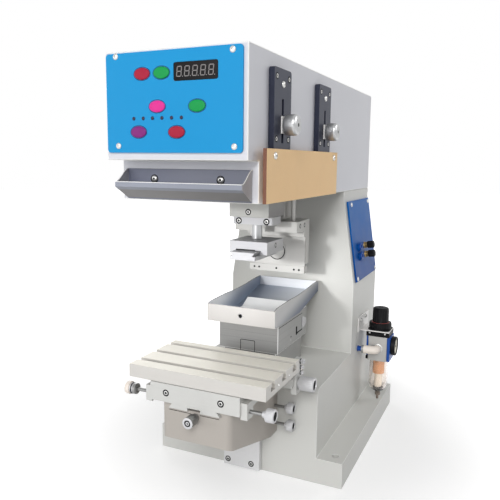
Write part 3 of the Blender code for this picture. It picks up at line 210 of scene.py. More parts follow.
def startMaterial(name):
    material = bpy.data.materials.new(name)
    material.use_nodes = True
    tree = material.node_tree
    shader = tree.nodes["Principled BSDF"]
    place = tree.nodes.new("ShaderNodeTexCoord").outputs["Object"]
    return material, tree, shader, place


def addDrift(tree, shader, place, colour, look):
    drift = placeGroup(tree, toneDrift, place, Colour=colour, Depth=look["drift"], Scale=look["driftScale"],
                       Speckle=look["speckle"])
    tree.links.new(drift.outputs["Colour"], shader.inputs["Base Color"])


def addMarks(tree, shader, place, base, look, **values):
    marks = placeGroup(tree, handMarks, place, Base=base, Spread=look["marks"], **values)
    tree.links.new(marks.outputs["Roughness"], shader.inputs["Roughness"])


def addBump(tree, shader, height, look):
    bump = tree.nodes.new("ShaderNodeBump")
    bump.inputs["Strength"].default_value = look["bump"]
    bump.inputs["Distance"].default_value = look["bumpDepth"]
    tree.links.new(height, bump.inputs["Height"])
    tree.links.new(bump.outputs[0], shader.inputs["Normal"])


def fadeTones(tree, place, colour, look):
    # "second" takes over from the first colour along a direction, between two places
    if "second" not in look:
        return colour
    blend = placeGroup(tree, riseBlend, place, Direction=look.get("direction", (0, 0, 1)),
                       From=look["blend"][0], To=look["blend"][1])
    return mixTone(tree, blend.outputs["Share"], colour, look["second"])


# What each kind of finish has where its look doesn't say otherwise. Drift is a slow change of tone and speckle
# a fine one; marks change the gloss; squeeze is how fine the grain is along X, Y and Z
paintUsual = {"roughness": 0.42, "marks": 0.08, "drift": 0.04, "driftScale": 8.0, "speckle": 0.03,
              "grain": 420.0, "bump": 0.12, "bumpDepth": 0.0004, "metallic": 0.0, "specular": 0.35}
metalUsual = {"squeeze": (30, 900, 900), "contrast": 1.0, "grooves": 0.82, "lineGloss": 0.12,
              "roughness": 0.3, "marks": 0.08, "drift": 0.05, "driftScale": 22.0, "speckle": 0.02,
              "bump": 0.10, "bumpDepth": 0.0002, "metallic": 1.0, "specular": 0.5}
# the usual values of the finishes with painted light and shade
lightAndShadeUsual = {"faceCut": 0.6, "contrast": 0.8, "lineShare": 0.06, "lineTone": (0.35, 0.37, 0.41, 1),
              "marks": 0.08, "drift": 0.03, "driftScale": 24.0, "speckle": 0.015, "bump": 0.06,
              "bumpDepth": 0.0002, "specular": 0.35}


def paintFinish(name, look):
    # sprayed or moulded surface
    look = {**paintUsual, **look}
    material, tree, shader, place = startMaterial(name)
    colour = fadeTones(tree, place, look["colour"], look)
    addDrift(tree, shader, place, colour, look)
    addMarks(tree, shader, place, look["roughness"], look)
    skin = placeGroup(tree, paintSkin, place, Scale=look["grain"])
    addBump(tree, shader, skin.outputs["Height"], look)
    shader.inputs["Metallic"].default_value = look["metallic"]
    shader.inputs["Specular IOR Level"].default_value = look["specular"]
    return material


def metalFinish(name, look):
    # worked metal: colour and gloss change with the grain lines
    look = {**metalUsual, **look}
    material, tree, shader, place = startMaterial(name)
    grain = placeGroup(tree, brushGrain, place, Squeeze=look["squeeze"], Contrast=look["contrast"])
    dark = tuple(value * look["grooves"] for value in look["colour"][:3]) + (1,)
    colour = mixTone(tree, grain.outputs["Lines"], dark, look["colour"])
    addDrift(tree, shader, place, colour, look)
    base = mathNode(tree, "ADD", mathNode(tree, "MULTIPLY", grain.outputs["Lines"], look["lineGloss"]),
                    look["roughness"] - look["lineGloss"] / 2)
    addMarks(tree, shader, place, base, look)
    addBump(tree, shader, grain.outputs["Height"], look)
    shader.inputs["Metallic"].default_value = look["metallic"]
    shader.inputs["Specular IOR Level"].default_value = look["specular"]
    return material


def boardFinish(name, look):
    # cloth-filled resin sheet: pale faces and dark cut edges
    material, tree, shader, place = startMaterial(name)
    normal = tree.nodes.new("ShaderNodeSeparateXYZ")
    tree.links.new(tree.nodes["Texture Coordinate"].outputs["Normal"], normal.inputs[0])
    flat = mathNode(tree, "GREATER_THAN", mathNode(tree, "ABSOLUTE", normal.outputs["X"]), look["faceCut"])
    weave = placeGroup(tree, brushGrain, place, Squeeze=look["squeeze"], Contrast=look["contrast"])
    cloth = mixTone(tree, weave.outputs["Lines"], look["shade"], look["colour"])
    colour = mixTone(tree, flat, look["edge"], cloth)
    addDrift(tree, shader, place, colour, look)
    addMarks(tree, shader, place, look["roughness"], look)
    addBump(tree, shader, weave.outputs["Height"], look)
    shader.inputs["Specular IOR Level"].default_value = look["specular"]
    return material


def lightAndShadeFinish(name, look):
    # metal with painted light and shade: each zone, a space and the way that its faces look, gets its own
    # colour, lighter where light falls and darker where shade falls
    look = {**lightAndShadeUsual, **look}
    material, tree, shader, place = startMaterial(name)
    spot, normal = tree.nodes.new("ShaderNodeSeparateXYZ"), tree.nodes.new("ShaderNodeSeparateXYZ")
    tree.links.new(place, spot.inputs[0])
    tree.links.new(tree.nodes["Texture Coordinate"].outputs["Normal"], normal.inputs[0])
    colour = look["colour"]
    for lightShadeZone in look["lightAndShadeZones"]:
        share = 1.0
        for axis, low, high in lightShadeZone.get("within", ()):
            share = mathNode(tree, "MULTIPLY", share, mathNode(tree, "GREATER_THAN", spot.outputs[axis], low))
            share = mathNode(tree, "MULTIPLY", share, mathNode(tree, "LESS_THAN", spot.outputs[axis], high))
        if "faces" in lightShadeZone:
            axis, sign = lightShadeZone["faces"]
            towards = mathNode(tree, "MULTIPLY", normal.outputs[axis], sign)
            share = mathNode(tree, "MULTIPLY", share,
                             mathNode(tree, "GREATER_THAN", towards, look["faceCut"]))
        colour = mixTone(tree, share, colour, fadeTones(tree, place, lightShadeZone["colour"], lightShadeZone))
    grain = placeGroup(tree, brushGrain, place, Squeeze=look["squeeze"], Contrast=look["contrast"])
    lines = mathNode(tree, "MULTIPLY", grain.outputs["Lines"], look["lineShare"])
    addDrift(tree, shader, place, mixTone(tree, lines, colour, look["lineTone"]), look)
    addMarks(tree, shader, place, look["roughness"], look)
    addBump(tree, shader, grain.outputs["Height"], look)
    shader.inputs["Metallic"].default_value = look["metallic"]
    shader.inputs["Specular IOR Level"].default_value = look["specular"]
    return material


def clearFinish(name, look):
    # clear moulded plastic: the shader lets light through, faint swirls change its gloss
    material, tree, shader, place = startMaterial(name)
    addDrift(tree, shader, place, look["colour"], look)
    addMarks(tree, shader, place, look["roughness"], look, Scale=look["marksScale"])
    shader.inputs["Transmission Weight"].default_value = look["clear"]
    shader.inputs["IOR"].default_value = look["ior"]
    return material


# Finishes of this machine
housingLook = {"colour": tone(213, 213, 209), "roughness": 0.44, "drift": 0.03, "bump": 0.14}
# painted highlight: near white for rounded edges where light catches them
edgeHighlightLook = {"colour": tone(246, 246, 245), "roughness": 0.34, "drift": 0.02, "bump": 0.05}
headLook = {"colour": tone(221, 222, 228), "roughness": 0.42, "drift": 0.03, "bump": 0.12}
# painted light and shade: the back darker and lightening towards the right, the lip lighter, faces towards the
# right lighter and faces towards the left darker
binLook = {"colour": tone(126, 124, 124), "roughness": 0.46, "metallic": 0.1, "squeeze": (40, 700, 700),
           "lightAndShadeZones": (
    {"within": (("Y", -0.3520, -0.3400),), "colour": tone(108, 112, 130), "second": tone(124, 127, 141),
     "direction": (1, 0, 0), "blend": (-0.08, 0.02)},
    {"within": (("Z", 0.4380, 0.4510), ("Y", -0.3800, -0.3700)), "colour": tone(142, 146, 158)},
    {"faces": ("X", 1), "colour": tone(172, 172, 177), "second": tone(174, 174, 179), "blend": (0.43, 0.46)},
    {"faces": ("X", -1), "colour": tone(120, 122, 130)})}
panelLook = {"colour": tone(22, 152, 214), "roughness": 0.38, "specular": 0.18, "drift": 0.02,
             "speckle": 0.015, "bump": 0.05}
# painted shade: the panel darker towards the bottom
serviceLook = {"colour": tone(8, 66, 140), "second": tone(14, 98, 174), "blend": (0.24, 0.42),
               "roughness": 0.4, "specular": 0.1, "drift": 0.07, "driftScale": 26.0, "bump": 0.05}
lensLook = {"colour": tone(12, 11, 13), "second": tone(20, 18, 20), "blend": (0.562, 0.586), "roughness": 0.2,
            "specular": 0.15, "bump": 0.02}
outlineLook = {"colour": tone(28, 66, 122), "roughness": 0.4, "specular": 0.2, "drift": 0.03, "bump": 0.03}
ledLook = {"colour": tone(44, 30, 52), "roughness": 0.25, "specular": 0.3, "drift": 0.08, "driftScale": 300.0}
digitLook = {"colour": tone(150, 146, 146), "roughness": 0.4, "specular": 0.1, "drift": 0.05,
             "driftScale": 90.0}
keyTones = {"key_red": tone(172, 28, 58), "key_green": tone(14, 156, 76), "key_pink": tone(230, 54, 152),
            "key_purple": tone(134, 40, 124)}
keyLook = {"roughness": 0.42, "specular": 0.2, "drift": 0.03, "driftScale": 60.0, "speckle": 0.02,
           "grain": 1800.0, "bump": 0.06}
phenolicLook = {"colour": tone(255, 220, 170), "shade": tone(253, 212, 162), "edge": tone(130, 90, 74),
                "faceCut": 0.75, "squeeze": (40, 1500, 260), "contrast": 1.4, "roughness": 0.6, "marks": 0.1,
                "drift": 0.06, "driftScale": 14.0, "speckle": 0.05, "bump": 0.12, "bumpDepth": 0.0002,
                "specular": 0.2}
blackPlateLook = {"colour": tone(50, 54, 70), "roughness": 0.42, "metallic": 0.15, "specular": 0.2,
                  "grooves": 0.86, "squeeze": (900, 40, 900), "drift": 0.07}
nickelLook = {"colour": tone(204, 204, 202), "roughness": 0.3, "metallic": 0.8, "squeeze": (700, 700, 700),
              "grooves": 0.85, "driftScale": 120.0}
steelLook = {"colour": tone(182, 183, 184), "roughness": 0.3, "metallic": 0.75, "squeeze": (500, 500, 60),
             "grooves": 0.8}
darkSteelLook = {"colour": tone(150, 150, 149), "roughness": 0.32, "metallic": 0.75,
                 "squeeze": (60, 500, 500), "grooves": 0.72}
aluminiumLook = {"colour": tone(190, 189, 186), "roughness": 0.44, "metallic": 0.35,
                 "squeeze": (40, 700, 700), "grooves": 0.92}
satinLook = {"colour": tone(248, 248, 249), "roughness": 0.46, "metallic": 0.12, "squeeze": (40, 800, 800),
             "grooves": 0.93}
brightSatinLook = {"colour": tone(204, 204, 206), "roughness": 0.42, "metallic": 0.4,
                   "squeeze": (60, 800, 800), "grooves": 0.92}
pedestalLook = {"colour": tone(166, 166, 165), "roughness": 0.4, "metallic": 0.45, "squeeze": (14, 14, 1500),
                "grooves": 0.8, "contrast": 1.5, "lineGloss": 0.16, "bump": 0.2}
crossSlideLook = {"colour": tone(206, 206, 203), "roughness": 0.44, "metallic": 0.25,
                  "squeeze": (30, 700, 700), "grooves": 0.92}
slotRoom = (("Y", -0.3300, -0.2220),)     # where the table's slots are
# painted light and shade: tops lighter, slot floors and the slot walls that face the back darker, the slot
# walls that face the front lighter
tableLook = {"colour": tone(216, 213, 208), "roughness": 0.46, "metallic": 0.1, "squeeze": (25, 900, 900),
             "lightAndShadeZones": (
    {"faces": ("Z", 1), "colour": tone(248, 244, 232)},
    {"within": (("Z", 0.1800, 0.2036),), "faces": ("Z", 1), "colour": tone(182, 179, 174)},
    {"within": slotRoom, "faces": ("Y", -1), "colour": tone(222, 218, 210)},
    {"within": slotRoom, "faces": ("Y", 1), "colour": tone(160, 158, 155)})}
kneeLook = {"colour": tone(184, 178, 171), "roughness": 0.5, "drift": 0.05, "speckle": 0.06, "grain": 700.0,
            "bump": 0.2}
railLook = {"colour": tone(228, 228, 229), "roughness": 0.4, "metallic": 0.3, "squeeze": (700, 700, 30),
            "grooves": 0.93}
trayWidth = ("X", -0.0540, 0.0540)         # the room between the tray's side walls
trayRoom = (trayWidth, ("Y", -0.1977, -0.0034))
# painted light and shade: the right outer side and the inner walls darker low down and lighter high up, the
# inner right wall dark, the floor darker towards the left
trayLook = {"colour": tone(204, 201, 198), "roughness": 0.38, "metallic": 0.2, "squeeze": (700, 24, 700),
            "lightAndShadeZones": (
    {"faces": ("X", 1), "colour": tone(104, 112, 130), "second": tone(196, 196, 196),
     "direction": (0, -0.22, 1), "blend": (0.256, 0.290)},
    {"within": trayRoom, "faces": ("X", 1), "colour": tone(168, 182, 204),
     "second": tone(250, 252, 254), "direction": (0, -0.30, 1), "blend": (0.262, 0.318)},
    {"within": trayRoom, "faces": ("X", -1), "colour": tone(120, 128, 142)},
    {"within": (trayWidth, ("Y", -0.0450, 0.0010)), "faces": ("Y", -1), "colour": tone(160, 167, 178),
     "second": tone(230, 232, 236), "blend": (0.245, 0.262)},
    {"within": trayRoom, "faces": ("Z", 1), "colour": tone(142, 151, 168),
     "second": tone(208, 212, 217), "direction": (1, 0, 0), "blend": (-0.040, 0.030)})}
# painted light: top faces lighter than the rest
bedLook = {"colour": tone(216, 216, 216), "roughness": 0.4, "metallic": 0.15, "squeeze": (700, 24, 700),
           "lightAndShadeZones": (
    {"faces": ("Z", 1), "colour": tone(251, 252, 252)},)}
# painted shade: faces towards the right darker, lighter near the top, and top faces darker
holderLook = {"colour": tone(196, 196, 199), "roughness": 0.44, "metallic": 0.2, "squeeze": (40, 800, 800),
              "lightAndShadeZones": (
    {"faces": ("X", 1), "colour": tone(178, 178, 179), "second": tone(190, 190, 191),
     "blend": (0.345, 0.356)},
    {"faces": ("Z", 1), "colour": tone(150, 150, 152)})}
# painted shadow: faces towards the right darker, lighter near the top
blockLook = {"colour": tone(190, 190, 186), "roughness": 0.46, "metallic": 0.2, "squeeze": (40, 800, 800),
             "lightAndShadeZones": (
    {"faces": ("X", 1), "colour": tone(142, 140, 139), "second": tone(158, 157, 155),
     "blend": (0.395, 0.412)},)}
boardLook = {"colour": tone(30, 92, 52), "roughness": 0.45, "drift": 0.1, "driftScale": 60.0, "speckle": 0.1}
blackLook = {"colour": tone(16, 16, 18), "roughness": 0.45, "specular": 0.12, "drift": 0.06,
             "driftScale": 60.0, "grain": 1500.0}
whitePlasticLook = {"colour": tone(250, 240, 230), "roughness": 0.4, "drift": 0.02, "grain": 1500.0,
                    "bump": 0.06}
bluePlasticLook = {"colour": tone(30, 78, 160), "roughness": 0.36, "specular": 0.25, "drift": 0.05,
                   "driftScale": 70.0, "grain": 1500.0, "bump": 0.06}
bowlLook = {"colour": tone(252, 247, 243), "roughness": 0.06, "marks": 0.05, "marksScale": 60.0,
            "drift": 0.03, "driftScale": 40.0, "speckle": 0.0, "clear": 0.93, "ior": 1.3}
filterLook = {"colour": tone(246, 238, 224), "second": tone(226, 160, 104), "blend": (0.0912, 0.0935),
              "roughness": 0.6, "drift": 0.08, "driftScale": 160.0, "speckle": 0.12, "bump": 0.3}
brassLook = {"colour": tone(176, 146, 92), "roughness": 0.3, "metallic": 0.8, "squeeze": (400, 400, 400),
             "driftScale": 200.0}
slotPlasticLook = {"colour": tone(240, 238, 236), "roughness": 0.4, "drift": 0.02, "grain": 1500.0,
                   "bump": 0.06}
drainLook = {"colour": tone(138, 126, 116), "roughness": 0.34, "metallic": 0.7, "squeeze": (400, 400, 400),
             "driftScale": 200.0}
# painted shade: near black for holes, recesses, counterbores, grooves and gaps where shade falls; also the
# knee's dark joint line
shadeAndJointDarkLook = {"colour": tone(24, 24, 26), "roughness": 0.7, "specular": 0.1, "drift": 0.1, "speckle": 0.1}
dialLook = {"colour": tone(240, 234, 214), "roughness": 0.5, "drift": 0.02, "driftScale": 80.0, "bump": 0.02}
redRingLook = {"colour": tone(150, 70, 68), "roughness": 0.4, "drift": 0.06, "driftScale": 90.0}

finishes = {
    "grey_paint": paintFinish("grey paint", housingLook),
    "head_paint": paintFinish("head paint", headLook),
    "bin_paint": lightAndShadeFinish("bin paint with painted light and shade", binLook),
    "panel_film": paintFinish("panel film", panelLook),
    "service_panel_blue": paintFinish("service panel blue", serviceLook),
    "display_lens": paintFinish("display lens", lensLook),
    "phenolic_sheet": boardFinish("phenolic sheet", phenolicLook),
    "black_oxide_steel": metalFinish("blackened steel", blackPlateLook),
    "nickel_plate": metalFinish("nickel plate", nickelLook),
    "ground_steel": metalFinish("ground steel", steelLook),
    "bare_aluminium": metalFinish("milled aluminium", aluminiumLook),
    "satin_aluminium": metalFinish("satin aluminium", satinLook),
    "cross_slide_steel": metalFinish("cross slide steel", crossSlideLook),
    "table_steel": lightAndShadeFinish("table steel with painted light and shade", tableLook),
    "knee_iron": paintFinish("knee iron", kneeLook),
    "stainless_sheet": lightAndShadeFinish("tray steel", trayLook),
    "circuit_board": paintFinish("circuit board", boardLook),
    "black_plastic": paintFinish("black plastic", blackLook),
    "white_plastic": paintFinish("white plastic", whitePlasticLook),
    "blue_cover": paintFinish("blue plastic", bluePlasticLook),
    "clear_bowl": clearFinish("clear bowl", bowlLook),
    "filter_orange": paintFinish("filter element", filterLook),
    "brass": metalFinish("brass", brassLook),
}
for slotName, colour in keyTones.items():
    finishes[slotName] = paintFinish(slotName.replace("_", " "), dict(keyLook, colour=colour))
paintedEdgeHighlight = paintFinish("painted edge highlight", edgeHighlightLook)
keyOutline = paintFinish("key outline", outlineLook)
ledPlastic = paintFinish("lamp plastic", ledLook)
digitPlastic = paintFinish("digit bars", digitLook)
pedestalMetal = metalFinish("brushed pedestal", pedestalLook)
railMetal = metalFinish("ground rail", railLook)
shadeAndJointDark = paintFinish("painted shade and joint lines", shadeAndJointDarkLook)
darkSteel = metalFinish("dark steel", darkSteelLook)
brightSatin = metalFinish("bright satin", brightSatinLook)
drainMetal = metalFinish("drain metal", drainLook)
dialCard = paintFinish("dial card", dialLook)
bedPaintedLightSteel = lightAndShadeFinish("cliche steel with painted light", bedLook)
holderPaintedShadeMetal = lightAndShadeFinish("pad holder metal with painted shade", holderLook)
blockPaintedShadeMetal = lightAndShadeFinish("cylinder block metal with painted shadow", blockLook)
redRing = paintFinish("red ring", redRingLook)
sliderWhite = paintFinish("slider white", slotPlasticLook)
print("finishes ready:", len(bpy.data.materials))


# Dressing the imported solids: welded, softly rounded edges and a finish

surface = {"weld": 0.000004, "softAngle": 32, "flatAngle": 0.4}


def makeSmoothTree():
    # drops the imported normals, welds the corners and shades the surface smooth
    tree = bpy.data.node_groups.new("cleanSurface", "GeometryNodeTree")
    tree.interface.new_socket("Geometry", in_out="INPUT", socket_type="NodeSocketGeometry")
    tree.interface.new_socket("Geometry", in_out="OUTPUT", socket_type="NodeSocketGeometry")
    given, result = tree.nodes.new("NodeGroupInput"), tree.nodes.new("NodeGroupOutput")
    drop = tree.nodes.new("GeometryNodeRemoveAttribute")
    drop.inputs["Name"].default_value = "custom_normal"
    merge = tree.nodes.new("GeometryNodeMergeByDistance")
    merge.inputs["Distance"].default_value = surface["weld"]
    shade = tree.nodes.new("GeometryNodeSetShadeSmooth")
    tree.links.new(given.outputs[0], drop.inputs["Geometry"])
    tree.links.new(drop.outputs["Geometry"], merge.inputs["Geometry"])
    tree.links.new(merge.outputs["Geometry"], shade.inputs["Geometry"])
    tree.links.new(shade.outputs["Geometry"], result.inputs[0])
    return tree


cleanSurface = makeSmoothTree()


def softenEdges(piece, width, segments=2, edge=None):
    bevel = piece.modifiers.new("softEdges", "BEVEL")
    bevel.width = width
    bevel.segments = segments
    bevel.limit_method = "ANGLE"
    bevel.angle_limit = math.radians(surface["softAngle"])
    bevel.harden_normals = True
    bevel.use_clamp_overlap = True
    # an edge finish goes on the rounded edges: a painted highlight
    if edge:
        piece.data.materials.append(edge)
        bevel.material = len(piece.material_slots) - 1


def slotOf(name):
    # the record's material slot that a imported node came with
    return frame["nodes"][name].material_slots[0].material.name.split(".")[0]


def dressNode(name, material=None, soft=0.0004, segments=2, edge=None):
    piece = frame["nodes"][name]
    if material is None:
        material = finishes[slotOf(name)]
    for slot in piece.material_slots:
        slot.material = material
    clean = piece.modifiers.new("clean", "NODES")
    clean.node_group = cleanSurface
    flat = piece.modifiers.new("flat", "DECIMATE")
    flat.decimate_type = "DISSOLVE"
    flat.angle_limit = math.radians(surface["flatAngle"])
    if soft:
        softenEdges(piece, soft, segments, edge)
    return piece


# Shapes, as lists of corners and faces in the machine's own frame

def facing(centre, direction, top=up):
    # local Z looks along the direction, local Y is near "top"
    out = Vector(direction).normalized()
    side = Vector(top).cross(out)
    if side.length < 1e-6:
        side = Vector((1, 0, 0)) if abs(out.x) < 0.9 else Vector((0, 1, 0))
    side.normalize()
    rise = out.cross(side)
    turn = Matrix((side, rise, out)).transposed().to_4x4()
    return Matrix.Translation(Vector(centre)) @ turn


def moved(shape, matrix):
    corners, faces = shape
    return [matrix @ Vector(c) for c in corners], faces


def together(*shapes):
    corners, faces = [], []
    for shapeCorners, shapeFaces in shapes:
        start = len(corners)
        corners += list(shapeCorners)
        faces += [tuple(i + start for i in face) for face in shapeFaces]
    return corners, faces


def ringRadius(kind, radius, angle):
    if kind == "hex":
        return radius * math.cos(math.pi / 6) / math.cos((angle % (math.pi / 3)) - math.pi / 6)
    if isinstance(kind, tuple):     # (teeth, depth): a knurled or ribbed ring
        wave = math.cos(angle * kind[0])
        return radius - kind[1] * (0.5 - 0.5 * max(-0.7, min(0.7, wave)) / 0.7)
    return radius


def turned(profile, centre, direction, sides=48, top=up):
    # profile: (along, radius) or (along, radius, kind), a closed run from axis to axis or a ring-shaped loop
    corners, faces, rings = [], [], []
    for point in profile:
        along, radius = point[0], point[1]
        kind = point[2] if len(point) > 2 else "round"
        if radius <= 0:
            rings.append([len(corners)])
            corners.append((0, 0, along))
            continue
        rings.append(list(range(len(corners), len(corners) + sides)))
        for index in range(sides):
            angle = 2 * math.pi * index / sides
            reach = ringRadius(kind, radius, angle)
            corners.append((reach * math.cos(angle), reach * math.sin(angle), along))
    pairs = list(zip(rings, rings[1:]))
    if profile[0][1] > 0:
        pairs.append((rings[-1], rings[0]))
    for first, second in pairs:
        for index in range(sides):
            after = (index + 1) % sides
            if len(first) == 1:
                faces.append((first[0], second[index], second[after])[::-1])
            elif len(second) == 1:
                faces.append((first[index], first[after], second[0]))
            else:
                faces.append((first[index], first[after], second[after], second[index]))
    return moved((corners, faces), facing(centre, direction, top))


def slab(outline, thickness, centre, direction, top=up, hole=None):
    # flat plate from an outline; with a hole, a frame between two outlines of equal length
    count = len(outline)
    corners, faces = [], []
    for height in (0, thickness):
        corners += [(x, y, height) for x, y in outline]
    if hole is None:
        faces.append(tuple(range(count))[::-1])
        faces.append(tuple(range(count, 2 * count)))
        for index in range(count):
            after = (index + 1) % count
            faces.append((index, after, count + after, count + index))
    else:
        for height in (0, thickness):
            corners += [(x, y, height) for x, y in hole]
        for index in range(count):
            after = (index + 1) % count
            faces.append((index, after, count + after, count + index))
            faces.append((2 * count + after, 2 * count + index, 3 * count + index, 3 * count + after))
            faces.append((count + index, count + after, 3 * count + after, 3 * count + index))
            faces.append((after, index, 2 * count + index, 2 * count + after))
    return moved((corners, faces), facing(centre, direction, top))


def roundedPlate(width, height, radius):
    points, steps = [], 5
    for cornerX, cornerY, start in ((1, 1, 0), (-1, 1, 1), (-1, -1, 2), (1, -1, 3)):
        for step in range(steps + 1):
            angle = math.pi / 2 * (start + step / steps)
            points.append((cornerX * (width / 2 - radius) + radius * math.cos(angle),
                           cornerY * (height / 2 - radius) + radius * math.sin(angle)))
    return points


def ellipse(width, height, count=40):
    return [(width / 2 * math.cos(2 * math.pi * i / count), height / 2 * math.sin(2 * math.pi * i / count))
            for i in range(count)]


def brick(low, high):
    x0, y0, z0 = low
    x1, y1, z1 = high
    corners = [(x, y, z) for x in (x0, x1) for y in (y0, y1) for z in (z0, z1)]
    faces = [(0, 1, 3, 2), (4, 6, 7, 5), (0, 4, 5, 1), (2, 3, 7, 6), (0, 2, 6, 4), (1, 5, 7, 3)]
    return corners, faces


def stacked(rings):
    # skin over equal-length rings of corners, closed at both ends
    count = len(rings[0])
    corners = [corner for ring in rings for corner in ring]
    faces = []
    for level in range(len(rings) - 1):
        for index in range(count):
            after = (index + 1) % count
            faces.append((level * count + index, level * count + after,
                          (level + 1) * count + after, (level + 1) * count + index))
    faces.append(tuple(range(count))[::-1])
    faces.append(tuple(range((len(rings) - 1) * count, len(rings) * count)))
    return corners, faces


def tubeAlong(path, radius, sides=28):
    # round tube along a list of points
    points = [Vector(p) for p in path]
    rings = []
    side = None
    for index, point in enumerate(points):
        ahead = points[min(index + 1, len(points) - 1)] - points[max(index - 1, 0)]
        ahead.normalize()
        if side is None:
            side = ahead.orthogonal().normalized()
        side = (side - ahead * side.dot(ahead)).normalized()
        rise = ahead.cross(side)
        rings.append([point + (side * math.cos(a) + rise * math.sin(a)) * radius
                      for a in (2 * math.pi * i / sides for i in range(sides))])
    return stacked(rings)


def bendPath(start, corner, end, radius):
    # straight, rounded corner, straight
    steps = 8
    start, corner, end = Vector(start), Vector(corner), Vector(end)
    first = (start - corner).normalized()
    last = (end - corner).normalized()
    points = [start]
    centre = corner + (first + last) * radius
    for step in range(steps + 1):
        angle = math.pi / 2 * step / steps
        points.append(centre - last * radius * math.cos(angle) - first * radius * math.sin(angle))
    return points + [end]


def addPiece(name, shapes, material, body, soft=0.0, replaces=(), sharp=35):
    # shapes: one shape, or a list of (shape, material) that make one object of several finishes
    if isinstance(shapes, tuple):
        shapes = [(shapes, material)]
    materials = []
    mesh = bpy.data.meshes.new(name)
    bm = bmesh.new()
    for shape, finish in shapes:
        if finish not in materials:
            materials.append(finish)
        corners = [bm.verts.new(corner) for corner in shape[0]]
        for face in shape[1]:
            made = bm.faces.new([corners[i] for i in face])
            made.smooth = True
            made.material_index = materials.index(finish)
    bmesh.ops.recalc_face_normals(bm, faces=bm.faces)
    limit = math.radians(sharp)
    for edge in bm.edges:
        edge.smooth = len(edge.link_faces) == 2 and edge.calc_face_angle(0) < limit
    bm.to_mesh(mesh)
    bm.free()
    for finish in materials:
        mesh.materials.append(finish)
    piece = bpy.data.objects.new(name, mesh)
    bpy.context.scene.collection.objects.link(piece)
    if soft:
        softenEdges(piece, soft)
    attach(piece, body)
    if replaces:
        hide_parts(*replaces)
    return piece


def disc(start, end, radius, kind="round"):
    # profile of a plain round or hexagonal plug
    return [(start, 0), (start, radius, kind), (end, radius, kind), (end, 0)]


def washer(start, end, inner, outer):
    # profile of a flat ring
    return [(start, inner), (start, outer), (end, outer), (end, inner)]


def pointsRight(node):
    # where a part that points right starts, its length and its radius
    low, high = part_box(node)
    return (low.x, (low.y + high.y) / 2, (low.z + high.z) / 2), high.x - low.x, (high.z - low.z) / 2


def dome(centre, direction, radius, rise, seat=0.0):
    # domed screw head with a hexagon recess
    look = {"steps": 6, "shrink": 0.98, "recess": 0.42, "narrow": 0.92, "wallDepth": 0.75, "floorDepth": 0.85}
    profile = [(0, 0), (0, radius), (seat, radius)]
    hollow = look["recess"] * radius
    for step in range(1, look["steps"]):
        angle = math.pi / 2 * step / look["steps"]
        profile.append((seat + rise * math.sin(angle), radius * math.cos(angle) * look["shrink"]))
    profile = [p for p in profile if p[1] > hollow or p[0] <= seat]
    top = profile[-1][0]
    profile += [(top, hollow, "hex"), (top - rise * look["wallDepth"], hollow * look["narrow"], "hex"),
                (top - rise * look["floorDepth"], 0)]
    return turned(profile, centre, direction, 36)


def domeScrews(name, spots, direction, size):
    # size: radius, rise and, where it has one, the height of the rim under the dome
    addPiece(name, together(*[dome(spot, direction, *size) for spot in spots]), nickel, "machine")


socketShare = 0.55      # of a screw head's radius


def capScrew(centre, direction, radius, height):
    # socket cap screw head: fine knurl, chamfer and a hexagon socket
    hollow = radius * socketShare
    knurl = (30, radius * 0.05)
    return turned([(0, 0), (0, radius), (height * 0.12, radius, knurl), (height * 0.8, radius, knurl),
                   (height * 0.84, radius * 0.98), (height, radius * 0.86), (height, hollow * 1.12),
                   (height * 0.94, hollow, "hex"), (height * 0.35, hollow, "hex"), (height * 0.3, 0)],
                  centre, direction, 60)


def flushScrew(centre, direction, radius):
    # the face of a screw that sits level with its plate: a thin ring round a hexagon socket
    proud, hollow = 0.0006, radius * socketShare
    floor = proud * 0.1
    return turned([(0, 0), (0, radius), (proud, radius * 0.93), (proud, hollow, "hex"),
                   (floor, hollow, "hex"), (floor, 0)], centre, direction, 36)


def sunkScrews(name, spots, direction, radius, body):
    # socket screws in their counterbores: a pale head, with painted shade as a dark ring for the counterbore
    # round it and a dark hexagon for its socket
    under, headTop = -0.1 * mm, 0.50 * mm
    ring = washer(under, 0.10 * mm, radius * 0.7, radius * 1.62)
    head = [(under, 0), (under, radius), (0.30 * mm, radius), (headTop, radius * 0.90),
            (headTop, radius * 0.64, "hex"), (0.1 * mm, radius * 0.60, "hex"), (0.1 * mm, 0)]
    shadeWell = disc(0.05 * mm, 0.16 * mm, radius * 0.59, "hex")
    rings, heads, shadeWells = [together(*[turned(profile, spot, direction, sides) for spot in spots])
                           for profile, sides in ((ring, 40), (head, 40), (shadeWell, 24))]
    addPiece(name, [(rings, shadeAndJointDark), (heads, nickel), (shadeWells, shadeAndJointDark)], None, body)


nickel, black, white = finishes["nickel_plate"], finishes["black_plastic"], finishes["white_plastic"]
steel, bluePlastic = finishes["ground_steel"], finishes["blue_cover"]

# Housing, head and back
# the rounded edges of the housing and the head carry a painted highlight
dressNode("machine_housing", soft=0.0017, segments=3, edge=paintedEdgeHighlight)
dressNode("rear_cover", soft=0.0008)
dressNode("head_casing", soft=0.0014, segments=3, edge=paintedEdgeHighlight)
dressNode("valve_block", soft=0.0005)
dressNode("control_board", soft=0)

# pairs of screws: how far in from the sides, and the height
backScrews = {"size": (3.6 * mm, 1.8 * mm), "pairs": ((9 * mm, 0.020), (9 * mm, 0.150), (0.034, 0.405))}
backLow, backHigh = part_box("rear_cover")
domeScrews("rear_cover_screws", [(x, backHigh.y, z) for inset, z in backScrews["pairs"]
                                 for x in (backLow.x + inset, backHigh.x - inset)], toRear,
           backScrews["size"])
print("housing dressed")


# Control panel: the node of each key, and the body that it rides on
keyPieces = {"button_red_upper": "key_red_upper", "button_green_upper": "key_green_upper",
             "button_pink_middle": "key_pink_middle", "button_green_middle": "key_green_middle",
             "button_purple_lower": "key_purple_lower", "button_red_lower": "key_red_lower"}


